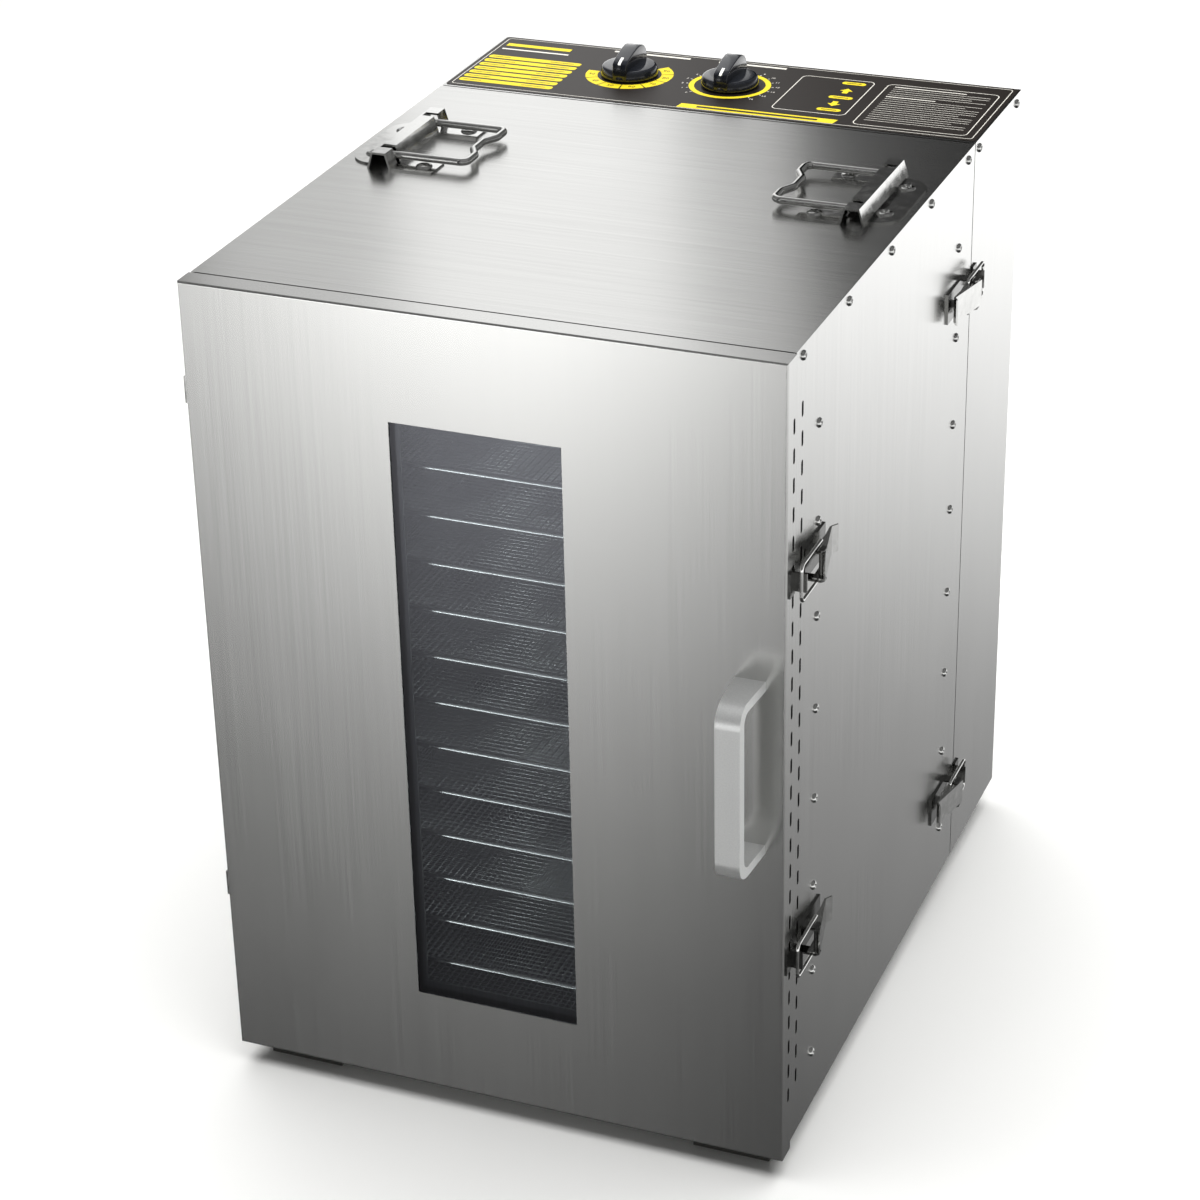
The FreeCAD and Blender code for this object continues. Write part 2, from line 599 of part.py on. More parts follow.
keeper = body("latch_keeper")
keeper_plate = sketch(keeper, "keeper_plate_outline", "XY_Plane")
HOOK = "(bail_reach - bail_wire - keeper_gap)"
rectangle(keeper_plate, (f"{HOOK} - keeper_sheet", "0"), (f"{HOOK} + keeper_half * 0.9",
                                                          "keeper_sheet"))
pad(keeper, "keeper_plate", keeper_plate, "keeper_half * 2", middle=True)
hook_drawing = sketch(keeper, "keeper_hook_outline", "XY_Plane")
outline(hook_drawing, [
    (f"{HOOK} - keeper_sheet", "0"), (HOOK, "0"), (HOOK, "keeper_height"),
    (f"{HOOK} - keeper_sheet", "keeper_height"),
])
pad(keeper, "keeper_hook", hook_drawing, "keeper_half * 1.5", middle=True)


def lever(name):
    """The lever: a plate with cheeks, sloping down to a turned-up finger tip."""
    piece = body(name)
    profile = sketch(piece, name + "_profile", "XY_Plane")
    outline(profile, [
        ("lever_nose", "pin_height + lever_rise"), ("-lever_length", "lever_end"),
        ("-lever_length - tip_reach", "tip_rise"),
        ("-lever_length - tip_reach - lever_sheet / 2", "tip_low"),
        ("-lever_length", "lever_end_low"), ("-cheek_middle", "cheek_swell"),
        ("-cheek_near", "cheek_low"), ("lever_nose", "cheek_root"),
    ])
    pad(piece, name + "_pressing", profile, "lever_half * 2", middle=True)
    inside = sketch(piece, name + "_inside", "XY_Plane")
    outline(inside, [
        ("lever_nose + 1", "pin_height + lever_rise - lever_sheet * 0.8"),
        ("lever_nose", "pin_height + lever_rise - lever_sheet"),
        ("lever_sheet / 2 - lever_length", "lever_end - lever_sheet"),
        ("lever_sheet / 2 - lever_length", "cheek_low / 2"), ("lever_nose + 1", "cheek_low / 2"),
    ])
    pocket(piece, name + "_hollow", inside, "(lever_half - lever_sheet) * 2", middle=True)
    bores = sketch(piece, name + "_bores", "XY_Plane")
    circle(bores, ("0", "pin_height"), "pin_radius + running_gap")
    circle(bores, ("-bail_back", "bail_height"), "bail_wire + running_gap")
    pocket(piece, name + "_bore", bores, "lever_half * 4", middle=True)
    return piece


def latch_bail(name):
    """The wire bail: two legs, a cross bar, and ends turned in to the lever."""
    back, reach, level = -size("bail_back"), size("bail_reach"), size("bail_height")
    half, radius, wire = size("bail_half"), size("bail_corner"), size("bail_wire")
    inner = size("lever_half") - size("lever_sheet") * 1.5
    small = wire * 1.15

    def at(along, across):
        return FreeCAD.Vector(along, level, sign * across)

    edges = []
    for sign in (-1, 1):
        turn_in, turn_out = small * (1 - math.sqrt(0.5)), radius * (1 - math.sqrt(0.5))
        edges += [
            Part.LineSegment(at(back, inner), at(back, half - small)).toShape(),
            Part.Arc(at(back, half - small), at(back + turn_in, half - turn_in),
                     at(back + small, half)).toShape(),
            Part.LineSegment(at(back + small, half), at(reach - radius, half)).toShape(),
            Part.Arc(at(reach - radius, half), at(reach - turn_out, half - turn_out),
                     at(reach, half - radius)).toShape(),
        ]
    edges.append(Part.LineSegment(at(reach, half - radius),
                                  FreeCAD.Vector(reach, level, radius - half)).toShape())
    path = Part.Wire(Part.__sortEdges__(edges))
    start = path.Edges[0].valueAt(path.Edges[0].FirstParameter)
    section = Part.Wire(Part.makeCircle(wire, FreeCAD.Vector(back, level, -inner),
                                        FreeCAD.Vector(0, 0, 1)))
    if start.z > 0:
        section = Part.Wire(Part.makeCircle(wire, start, FreeCAD.Vector(0, 0, 1)))
    piece = doc.addObject("Part::Feature", name)
    piece.Shape = path.makePipeShell([section], True, False)
    return piece


bases = []
for name, (across, along, level, rotation) in LATCHES.items():
    corner = (across, f"door_face + {along}", f"door_bottom + {level}")
    bases.append(copy(name + "_latch_base", latch_base, corner, rotation))
    bases.append(copy(name + "_latch_pin", latch_pin, corner, rotation))
    latch_lever = lever(name + "_lever_pressing")
    place(latch_lever, corner, rotation)
    node(name + "_lever", latch_lever)
    bail = latch_bail(name + "_bail_wire")
    place(bail, corner, rotation)
    node(name + "_bail", bail)
node("latch_bases", group("latch_base_set", bases))


def keepers(name, side):
    """The keepers of the latches at one end of the cabinet."""
    out = "door_width / 2" if side == "front" else HALF
    pieces = []
    for latch, (across, along, level, rotation) in LATCHES.items():
        if latch.startswith(side):
            corner = (across.replace(HALF, out), f"door_face + {along}", f"door_bottom + {level}")
            pieces.append(copy(latch + "_keeper", keeper, corner, rotation))
    return node(name, group(name + "_set", pieces))


keepers("door_keepers", "front")
keepers("rear_keepers", "rear")

# Door hinges: a middle knuckle on the door's leaf, two on the cabinet's, and
# a pin through all three.
HINGE_X, HINGE_Y = "(-hinge_axis_out)", "(door_face + hinge_axis_back)"


def hinge_leaf(name, level, low_across, high_across, low_along, high_along, knuckles):
    """One leaf: a plate fused to its share of the barrel, bored for the pin."""
    third = "(hinge_height / 3)"
    base = f"(door_bottom + {level})"
    pieces = []
    for number in knuckles:
        low, high = f"{base} + {third} * {number}", f"{base} + {third} * {number + 1}"
        gap = "running_gap * 2" if len(knuckles) == 1 else "0"
        pieces.append(rod(f"{name}_knuckle_{number}", (HINGE_X, HINGE_Y, f"{low} + {gap}"), "z",
                          f"{third} - 2 * {gap}", "knuckle"))
        pieces.append(box(f"{name}_neck_{number}", (low_across, low_along, f"{low} + {gap}"),
                          (high_across, high_along, f"{high} - {gap}")))
    bore = rod(name + "_bore", (HINGE_X, HINGE_Y, base), "z", "hinge_height",
               "hinge_pin + running_gap" if len(knuckles) == 1 else "hinge_pin")
    return cut(name, fuse(name + "_solid", pieces), [bore])


door_leaves, cabinet_leaves = [], []
for level in ("hinge_lower", "hinge_upper"):
    door_leaves.append(hinge_leaf(f"door_{level}", level, "-door_width / 2 - hinge_leaf",
                                  "-door_width / 2", "door_face + hinge_setback", HINGE_Y, [1]))
    for number in (0, 2):
        cabinet_leaves.append(hinge_leaf(
            f"cabinet_{level}_{number}", level, f"-{HALF} - hinge_leaf", f"-{HALF}",
            f"{FRONT}", f"{FRONT} + hinge_leaf_depth", [number, number]))
    cabinet_leaves.append(rod(f"{level}_hinge_rod", (HINGE_X, HINGE_Y, f"door_bottom + {level}"),
                              "z", "hinge_height", "hinge_pin"))
node("hinge_door_leaves", group("hinge_door_leaf_pair", door_leaves))
node("hinge_cabinet_leaves", group("hinge_cabinet_leaf_pair", cabinet_leaves))

# Door skin: a shallow pan with a window, folded back all round.
door = body("door_skin", ("-door_width / 2", "door_face", "door_bottom"))
skin_drawing = sketch(door, "door_outline", "XZ_Plane")
rectangle(skin_drawing, ("0", "0"), ("door_width", "door_height"))
door_blank = pad(door, "door_blank", skin_drawing, "door_depth", reverse=True)
doc.recompute()
face_edges = [f"Edge{number}" for number, edge in enumerate(door_blank.Shape.Edges, start=1)
              if edge.BoundBox.YMax - door_blank.Shape.BoundBox.YMin < 0.01]
door_fold = door.newObject("PartDesign::Fillet", "door_fold")
door_fold.Base = (door_blank, face_edges)
bind(door_fold, "Radius", "door_fold_radius")
pan_drawing = sketch(door, "door_pan_outline", "XZ_Plane", "-sheet")
rectangle(pan_drawing, ("sheet", "sheet"), ("door_width - sheet", "door_height - sheet"))
pocket(door, "door_pan", pan_drawing, "door_depth")
window_drawing = sketch(door, "window_outline", "XZ_Plane")
WINDOW = (("window_left", "window_bottom"),
          ("window_left + window_width", "window_bottom + window_height"))
rectangle(window_drawing, *WINDOW)
pocket(door, "window_opening", window_drawing, "sheet * 4", middle=True)
slot_row(door, "door_slot", "door_width", "slot_row_door")
node("door_panel", door)

inner = body("door_liner", ("-door_width / 2", "door_face + door_depth", "door_bottom"))
liner_drawing = sketch(inner, "liner_outline", "XZ_Plane")
rectangle(liner_drawing, ("sheet", "sheet"), ("door_width - sheet", "door_height - sheet"))
pad(inner, "liner_sheet", liner_drawing, "sheet")
liner_window = sketch(inner, "liner_window_outline", "XZ_Plane")
rectangle(liner_window, *WINDOW)
pocket(inner, "liner_window", liner_window, "sheet * 4", middle=True)
node("door_inner_panel", inner)

glass = body("glass_pane", ("-door_width / 2", "door_face + sheet", "door_bottom"))
glass_drawing = sketch(glass, "glass_outline", "XZ_Plane")
rectangle(glass_drawing, ("window_left - glass_lap", "window_bottom - glass_lap"),
          ("window_left + window_width + glass_lap", "window_bottom + window_height + glass_lap"))
pad(glass, "glass_sheet_pad", glass_drawing, "glass_sheet", reverse=True)
node("door_glass", glass)

seal = body("seal_strip", ("-door_width / 2", "door_face + door_depth", "door_bottom"))
seal_drawing = sketch(seal, "seal_outline", "XZ_Plane")
rectangle(seal_drawing, ("seal_inset", "seal_inset"),
          ("door_width - seal_inset", "door_height - seal_inset"))
rectangle(seal_drawing, ("seal_inset + seal_width", "seal_inset + seal_width"),
          ("door_width - seal_inset - seal_width", "door_height - seal_inset - seal_width"))
pad(seal, "seal_pad", seal_drawing, "seal_sheet", reverse=True)
node("door_seal", seal)

# Door pull: a flat bar bent into a U, a little wider at its feet.
pull = body("pull_bar_shape", ("pull_centre", "door_face", "door_bottom + pull_bottom"))
pull_drawing = sketch(pull, "pull_outline", "YZ_Plane")
rectangle(pull_drawing, ("-pull_reach", "0"), ("0", "pull_height"))
pull_block = pad(pull, "pull_block", pull_drawing, "pull_foot_width", middle=True)
gap_drawing = sketch(pull, "pull_gap_outline", "YZ_Plane")
rectangle(gap_drawing, ("pull_bar - pull_reach", "pull_bar * 0.8"),
          ("1", "pull_height - pull_bar * 0.8"))
pull_gap = pocket(pull, "pull_gap", gap_drawing, "pull_foot_width * 2", middle=True)
for sign in (-1, 1):
    waist = sketch(pull, f"pull_waist_outline_{sign + 2}", "XY_Plane")
    outline(waist, [
        (f"{sign} * pull_foot_width / 2", "0"), (f"{sign} * pull_width / 2", "-pull_reach * 0.8"),
        (f"{sign} * pull_width / 2", "-pull_reach - 1"),
        (f"{sign} * pull_foot_width", "-pull_reach - 1"), (f"{sign} * pull_foot_width", "0"),
    ])
    pocket(pull, f"pull_waist_{sign + 2}", waist, "pull_height * 2", reverse=True)
doc.recompute()


def cross_edges(shape, inside):
    """Edges that run across the pull, at its outer or its inner corners."""
    chosen = []
    for number, edge in enumerate(shape.Edges, start=1):
        extent = edge.BoundBox
        across = extent.XLength > size("pull_width") * 0.9 and extent.YLength < 0.01
        front = extent.YMin < size("pull_bar") * 2 - size("pull_reach")
        deep = extent.YMin > 0.5 - size("pull_reach")
        if across and extent.ZLength < 0.01 and front and deep == inside:
            chosen.append(f"Edge{number}")
    return chosen


pull_tip = pull.Tip
outer_round = pull.newObject("PartDesign::Fillet", "pull_outer_round")
outer_round.Base = (pull_tip, cross_edges(pull_tip.Shape, False))
bind(outer_round, "Radius", "pull_corner")
doc.recompute()
inner_round = pull.newObject("PartDesign::Fillet", "pull_inner_round")
inner_round.Base = (outer_round, cross_edges(outer_round.Shape, True))
bind(inner_round, "Radius", "pull_corner - pull_bar * 0.8")
node("door_handle", pull)

# Rear module: a folded cover open to the front and the top, closed above by
# the control panel and in front by the baffle that screens the fan.
cover = body("cover_shell", (f"-{HALF}", MODULE, "cabinet_bottom"))
cover_drawing = sketch(cover, "cover_outline", "XZ_Plane")
rectangle(cover_drawing, ("0", "0"), ("cabinet_width", "cabinet_top - cabinet_bottom"))
pad(cover, "cover_blank", cover_drawing, "module_depth", reverse=True)
cover_inside = sketch(cover, "cover_inside_outline", "XZ_Plane")
rectangle(cover_inside, ("sheet", "sheet"),
          ("cabinet_width - sheet", "cabinet_top - cabinet_bottom + 1"))
pocket(cover, "cover_inside", cover_inside, "module_depth - sheet")
louvre_drawing = sketch(cover, "louvre_outline", "XZ_Plane", "-module_depth")
for across in ("cabinet_width / 2 - louvre_length * 1.2", "cabinet_width / 2 + louvre_length * 0.2"):
    rectangle(louvre_drawing, (across, "fan_height - louvre_pitch * louvre_count / 2"),
              (f"{across} + louvre_length",
               "fan_height - louvre_pitch * louvre_count / 2 + louvre_width"))
louvre = pocket(cover, "louvre", louvre_drawing, "sheet * 4", middle=True)
repeat(cover, "louvre_row", louvre, louvre_drawing, "V_Axis",
       "louvre_pitch * (louvre_count - 1)", "louvre_count")
gland_drawing = sketch(cover, "gland_hole_outline", "XZ_Plane", "-module_depth")
circle(gland_drawing, ("cabinet_width / 2 + gland_across",
                       "gland_height + door_bottom - cabinet_bottom"), "gland_radius * 0.7")
pocket(cover, "gland_hole", gland_drawing, "sheet * 4", middle=True)
cover_screw_drawing = sketch(cover, "cover_screw_outline", "YZ_Plane")
for depth in ("module_screw_front", "module_screw_rear"):
    circle(cover_screw_drawing, (f"{depth} - module_front",
                                 "cabinet_top - cabinet_bottom - top_screw_drop"),
           "screw_shank + running_gap")
pocket(cover, "cover_screw_holes", cover_screw_drawing, "cabinet_width * 3", middle=True)
node("rear_cover", cover)

control = body("control_plate", ("0", MODULE, "cabinet_top"))
control_drawing = sketch(control, "control_outline", "XZ_Plane")
rectangle(control_drawing, (f"sheet - {HALF}", "-flange"), (f"{HALF} - sheet", "0"))
pad(control, "control_blank", control_drawing, "module_depth - sheet", reverse=True)
control_inside = sketch(control, "control_inside_outline", "XZ_Plane", "1")
rectangle(control_inside, (f"sheet * 2 - {HALF}", "-flange - 1"), (f"{HALF} - sheet * 2", "-sheet"))
pocket(control, "control_inside", control_inside, "module_depth + 2")
stem_holes = sketch(control, "stem_hole_outline", "XY_Plane")
for across in ("temperature_across", "timer_across"):
    circle(stem_holes, (across, "knob_back - module_front"), "stem_radius + 1")
pocket(control, "stem_holes", stem_holes, "sheet * 4", middle=True)
node("control_panel", control)

module_screws = []
for side, sign in (("left", -1), ("right", 1)):
    for depth in ("module_screw_front", "module_screw_rear"):
        corner = (f"{sign} * {HALF}", f"door_face + {depth}", "cabinet_top - top_screw_drop")
        module_screws.append(copy(f"{side}_{depth}", screw, corner, OUTWARD[sign]))
node("rear_cover_screws", group("rear_cover_screw_set", module_screws))

# Baffle: a flat plate with three rings of slots in front of the fan and a
# column of return-air slots down each side.
baffle = body("baffle_plate", ("0", f"{MODULE} + baffle_back", FAN_LEVEL))
baffle_drawing = sketch(baffle, "baffle_outline", "XZ_Plane")
BAFFLE_LOW = f"(cabinet_bottom + sheet * 2 - {FAN_LEVEL})"
BAFFLE_HIGH = f"(cabinet_top - flange - 1 - {FAN_LEVEL})"
rectangle(baffle_drawing, (f"sheet * 2 - {HALF}", BAFFLE_LOW), (f"{HALF} - sheet * 2", BAFFLE_HIGH))
pad(baffle, "baffle_blank", baffle_drawing, "baffle_sheet", reverse=True)
for ring, slots in (("guard_slot_inner", 8), ("guard_slot_middle", 12), ("guard_slot_outer", 18)):
    guard_drawing = sketch(baffle, ring + "_outline", "XZ_Plane")
    rectangle(guard_drawing, (f"{ring} - guard_slot_half", "-guard_slot_width / 2"),
              (f"{ring} + guard_slot_half", "guard_slot_width / 2"))
    guard_slot = pocket(baffle, ring + "_cut", guard_drawing, "sheet * 8", middle=True)
    guard_ring = baffle.newObject("PartDesign::PolarPattern", ring + "_ring")
    guard_ring.Originals = [guard_slot]
    guard_ring.Axis = (guard_drawing, ["N_Axis"])
    guard_ring.Angle = 360
    guard_ring.Occurrences = slots
    baffle.Tip = guard_ring
return_drawing = sketch(baffle, "return_slot_outline", "XZ_Plane")
for across in ("-return_slot_across", "return_slot_across"):
    rectangle(return_drawing, (f"{across} - return_slot_length / 2", "-return_slot_low"),
              (f"{across} + return_slot_length / 2", "return_slot_width - return_slot_low"))
return_slot = pocket(baffle, "return_slot", return_drawing, "sheet * 8", middle=True)
repeat(baffle, "return_slot_row", return_slot, return_drawing, "V_Axis", "return_slot_span",
       "return_slot_count")
node("air_baffle", baffle)

# Fan: a motor on a two-legged bracket, and a bladed wheel on its shaft.
FAN_BACK = "(door_face + fan_front + fan_width + hub_gap)"
STRAP_OUT = "(motor_radius + strap_reach)"
STRAP_FRONT = f"({FAN_BACK} + motor_length - strap_sheet)"
STRAP_LOW, STRAP_HIGH = f"({FAN_LEVEL} - strap_half)", f"({FAN_LEVEL} + strap_half)"
motor = fuse("motor_on_bracket", [
    rod("motor_can", ("0", FAN_BACK, FAN_LEVEL), "y", "motor_length", "motor_radius"),
    box("motor_bridge", (f"-{STRAP_OUT}", STRAP_FRONT, STRAP_LOW),
        (STRAP_OUT, f"{FAN_BACK} + motor_length", STRAP_HIGH)),
    box("motor_left_leg", (f"-{STRAP_OUT}", STRAP_FRONT, STRAP_LOW),
        (f"strap_sheet - {STRAP_OUT}", f"{BACK} - sheet", STRAP_HIGH)),
    box("motor_right_leg", (f"{STRAP_OUT} - strap_sheet", STRAP_FRONT, STRAP_LOW),
        (STRAP_OUT, f"{BACK} - sheet", STRAP_HIGH)),
])
motor_bore = rod("motor_bore", ("0", f"{FAN_BACK} - 1", FAN_LEVEL), "y", "motor_length * 0.6",
                 "shaft_radius + running_gap")
node("fan_motor", cut("motor_bored", motor, [motor_bore]))

wheel = body("fan_wheel", ("0", "door_face + fan_front", FAN_LEVEL))
hub_drawing = sketch(wheel, "hub_outline", "XZ_Plane")
circle(hub_drawing, ("0", "0"), "fan_hub")
pad(wheel, "hub", hub_drawing, "fan_width", reverse=True)
stem_drawing = sketch(wheel, "fan_shaft_outline", "XZ_Plane")
circle(stem_drawing, ("0", "0"), "shaft_radius")
pad(wheel, "fan_shaft", stem_drawing, "fan_width + hub_gap + motor_length * 0.5", reverse=True)
blade_drawing = sketch(wheel, "blade_outline", "YZ_Plane", "fan_hub * 0.6")
outline(blade_drawing, [("blade_sheet", "-blade_half"), ("blade_sheet * 2", "-blade_half"),
                        ("fan_width - blade_sheet", "blade_half"),
                        ("fan_width - blade_sheet * 2", "blade_half")])
blade = pad(wheel, "blade", blade_drawing, "fan_radius - fan_hub * 0.6")
blade_ring = wheel.newObject("PartDesign::PolarPattern", "blade_ring")
blade_ring.Originals = [blade]
blade_ring.Axis = (hub_drawing, ["N_Axis"])
blade_ring.Angle = 360
bind(blade_ring, "Occurrences", "blade_count")
wheel.Tip = blade_ring
node("fan_blade", wheel)

# Heater: one ring of sheathed element round the fan, with two ends that run
# back to the cover and two clips that hold it off the baffle.
ring = doc.addObject("Part::Torus", "heater_ring_tube")
bind(ring, "Radius1", "heater_ring")
bind(ring, "Radius2", "heater_tube")
place(ring, ("0", "door_face + heater_back", FAN_LEVEL), turn((1, 0, 0), 90))
heater = [ring]
for sign in (-1, 1):
    heater.append(rod(f"heater_end_{sign + 2}", (f"{sign} * heater_end_across", "door_face + heater_back",
                      f"{FAN_LEVEL} - heater_ring + 0.5"), "y",
                      f"{BACK} - sheet - door_face - heater_back", "heater_tube * 0.9"))
    heater.append(box(f"heater_clip_{sign + 2}", (
        f"{sign} * heater_ring - heater_clip_half", f"{MODULE} + baffle_back + baffle_sheet",
        f"{FAN_LEVEL} - heater_clip_half"), (
        f"{sign} * heater_ring + heater_clip_half", "door_face + heater_back",
        f"{FAN_LEVEL} + heater_clip_half")))
node("heating_element", fuse("heater_assembly", heater))

# Thermostat and timer: sealed blocks below the control panel, each with a
# socket for its knob's stem.
for name, across in (("thermostat_body", "temperature_across"), ("timer_body", "timer_across")):
    top = "(cabinet_top - sheet)"
    block = box(name + "_case", (f"{across} - control_side / 2",
                "door_face + knob_back - control_side / 2", f"{top} - control_depth"),
                (f"{across} + control_side / 2", "door_face + knob_back + control_side / 2", top))
    socket = rod(name + "_socket", (across, "door_face + knob_back", f"{top} - stem_depth"), "z",
                 "stem_depth + 1", "stem_radius + running_gap")
    node(name, cut(name + "_bored", block, [socket]))


def knob(name, across):
    """A round skirt with a grip bar across it and a stem below."""
    piece = body(name + "_moulding", (across, "door_face + knob_back", "cabinet_top + knob_lift"))
    skirt = sketch(piece, name + "_skirt_outline", "XZ_Plane")
    outline(skirt, [("0", "0"), ("knob_radius", "0"), ("knob_radius * 0.98", "knob_skirt * 0.6"),
                    ("knob_radius * 0.9", "knob_skirt"), ("0", "knob_skirt * 1.2")])
    turned = piece.newObject("PartDesign::Revolution", name + "_skirt")
    turned.Profile = skirt
    turned.ReferenceAxis = (skirt, ["V_Axis"])
    turned.Angle = 360
    grip = sketch(piece, name + "_grip_outline", "YZ_Plane")
    outline(grip, [("-knob_radius * 0.99", "0"), ("-knob_radius * 0.96", "knob_height * 0.68"),
                   ("-knob_radius * 0.3", "knob_height * 0.88"),
                   ("knob_radius * 0.25", "knob_height"), ("knob_radius * 0.55", "knob_height * 0.96"),
                   ("knob_radius * 0.8", "knob_height * 0.8"),
                   ("knob_radius * 0.93", "knob_height * 0.55"), ("knob_radius * 0.95", "0")])
    pad(piece, name + "_grip", grip, "knob_grip", middle=True)
    stem = sketch(piece, name + "_stem_outline", "XY_Plane")
    circle(stem, ("0", "0"), "stem_radius")
    pad(piece, name + "_stem", stem, "knob_lift + sheet + stem_depth - 1", reverse=True)
    return node(name, piece)


knob("temperature_knob", "temperature_across")
knob("timer_knob", "timer_across")

# Cable gland: a flanged sleeve through the back of the cover.
GLAND = ("gland_across", f"{BACK} - sheet * 3", "door_bottom + gland_height")
gland = fuse("gland_solid", [
    rod("gland_sleeve", GLAND, "y", "sheet * 4", "gland_radius * 0.7"),
    rod("gland_flange", ("gland_across", BACK, "door_bottom + gland_height"), "y",
        "gland_flange", "gland_radius"),
    rod("gland_nose", ("gland_across", BACK, "door_bottom + gland_height"), "y", "gland_reach",
        "gland_radius * 0.75"),
])
gland_bore = rod("gland_bore_tool", ("gland_across", f"{BACK} - sheet * 4",
                 "door_bottom + gland_height"), "y", "gland_reach + sheet * 6", "gland_bore")
node("cable_gland", cut("gland_bored", gland, [gland_bore]))


# Trays: a loop of rim wire with a grid of bars welded inside it.  All fifteen
# are alike, so one is drawn and a copy lies on each pair of rails.
grid = body("tray_grid")
half_wire = "mesh_wire / 2"
bar_drawing = sketch(grid, "tray_bar_outline", "XZ_Plane", "-rim_radius")
bar_start = "tray_corner - tray_width / 2"
rectangle(bar_drawing, (f"{bar_start} - {half_wire}", f"-{half_wire}"),
          (f"{bar_start} + {half_wire}", half_wire))
tray_bar = pad(grid, "tray_bar", bar_drawing, "tray_depth - rim_radius * 2", reverse=True)
repeat(grid, "tray_bar_row", tray_bar, bar_drawing, "H_Axis", "tray_width - tray_corner * 2",
       "mesh_bar_count")
cross_drawing = sketch(grid, "tray_cross_outline", "YZ_Plane")
rectangle(cross_drawing, (f"tray_corner - {half_wire}", f"-{half_wire}"),
          (f"tray_corner + {half_wire}", half_wire))
tray_cross = pad(grid, "tray_cross", cross_drawing, "tray_width - rim_radius * 2", middle=True)
repeat(grid, "tray_cross_row", tray_cross, cross_drawing, "H_Axis",
       "tray_depth - tray_corner * 2", "mesh_cross_count")

near, far = size("rim_radius"), size("tray_depth") - size("rim_radius")
side = size("tray_width") / 2 - size("rim_radius")
rim = wire_loop("tray_rim", [
    FreeCAD.Vector(-side, near, 0), FreeCAD.Vector(side, near, 0),
    FreeCAD.Vector(side, far, 0), FreeCAD.Vector(-side, far, 0),
], size("tray_corner"), size("rim_radius"))
tray = fuse("tray_welded", [rim, grid])
for number in range(int(size("tray_count"))):
    name = f"tray_{number + 1:02d}"
    corner = ("0", "door_face + tray_front", TRAY_LEVEL.format(number))
    node(name, group(name + "_on_rails", [copy(name + "_copy", tray, corner)]))

doc.recompute()
failed = [item.Name for item in doc.Objects if {"Invalid", "Error"} & set(item.State)]
if failed:
    raise RuntimeError("objects failed to compute: " + ", ".join(failed))
for name, piece in parts.items():
    if piece.Shape.isNull() or not piece.Shape.isValid():
        raise RuntimeError("no valid shape: " + name)

os.makedirs("parts", exist_ok=True)
for name, piece in parts.items():
    piece.Shape.exportStep(f"parts/{name}.step")
    extent = piece.Shape.BoundBox
    print(name, len(piece.Shape.Solids), round(piece.Shape.Volume), extent)
print(len(parts), "sub-parts")
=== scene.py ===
import math

import bpy
import numpy as np
from mathutils import Matrix, Vector


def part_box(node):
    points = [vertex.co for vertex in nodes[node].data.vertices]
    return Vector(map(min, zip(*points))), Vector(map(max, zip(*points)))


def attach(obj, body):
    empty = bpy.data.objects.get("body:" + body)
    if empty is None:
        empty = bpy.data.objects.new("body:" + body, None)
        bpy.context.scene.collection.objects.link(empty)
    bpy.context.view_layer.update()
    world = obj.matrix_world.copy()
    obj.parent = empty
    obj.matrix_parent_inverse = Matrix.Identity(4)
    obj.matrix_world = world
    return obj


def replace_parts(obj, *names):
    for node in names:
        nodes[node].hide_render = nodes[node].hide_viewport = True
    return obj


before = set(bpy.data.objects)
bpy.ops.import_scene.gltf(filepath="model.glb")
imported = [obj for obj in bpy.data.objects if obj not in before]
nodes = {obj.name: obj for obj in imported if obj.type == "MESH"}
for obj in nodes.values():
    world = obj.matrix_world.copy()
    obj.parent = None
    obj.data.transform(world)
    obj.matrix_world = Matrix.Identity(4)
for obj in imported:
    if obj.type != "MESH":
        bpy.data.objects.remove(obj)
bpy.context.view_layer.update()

# Outer sheets. Stainless steel, grade 304, 1.2 mm thick, cut, folded and then
# brushed with a fine belt: up and down on the door and the sides, and across
# on the top. The brushing gives a soft sheen drawn out along the grain.


def linear(hex_colour):
    """The linear red, green, blue and alpha of an sRGB hex colour."""
    level = np.array([int(hex_colour[start:start + 2], 16) for start in (1, 3, 5)]) / 255
    low, high = level / 12.92, ((level + 0.055) / 1.055) ** 2.4
    return (*np.where(level <= 0.04045, low, high).tolist(), 1.0)


def add(tree, kind, sockets=None, **settings):
    """Add one node. Settings are its own choices, and a socket takes a value
    or the output that feeds it."""
    node = tree.nodes.new("ShaderNode" + kind)
    for name, value in settings.items():
        setattr(node, name, value)
    for name, value in (sockets or {}).items():
        if isinstance(value, bpy.types.NodeSocket):
            tree.links.new(value, node.inputs[name])
        else:
            node.inputs[name].default_value = value
    return node


def start_material(name, **surface):
    """A new material with its Principled surface set, its tree and its place."""
    material = bpy.data.materials.new(name)
    material.use_nodes = True
    tree = material.node_tree
    tree.nodes.clear()
    sockets = {key.replace("_", " "): value for key, value in surface.items()}
    shader = add(tree, "BsdfPrincipled", sockets)
    output = add(tree, "OutputMaterial", {"Surface": shader.outputs["BSDF"]})
    place = add(tree, "TexCoord").outputs["Object"]
    return material, tree, shader, place, output


# Scratches are coarser than the real 0.1 mm, so that they show. Noise hardly
# ever leaves the range between its low and high.
SCRATCH_GAP_MM, SCRATCH_LENGTH_MM = 1.6, 200
CLOUD_MM, CLOUD_SHARE = 111, 0.3
GLOSS_SPREAD = 0.015
NOISE_LOW, NOISE_HIGH = 0.3, 0.7


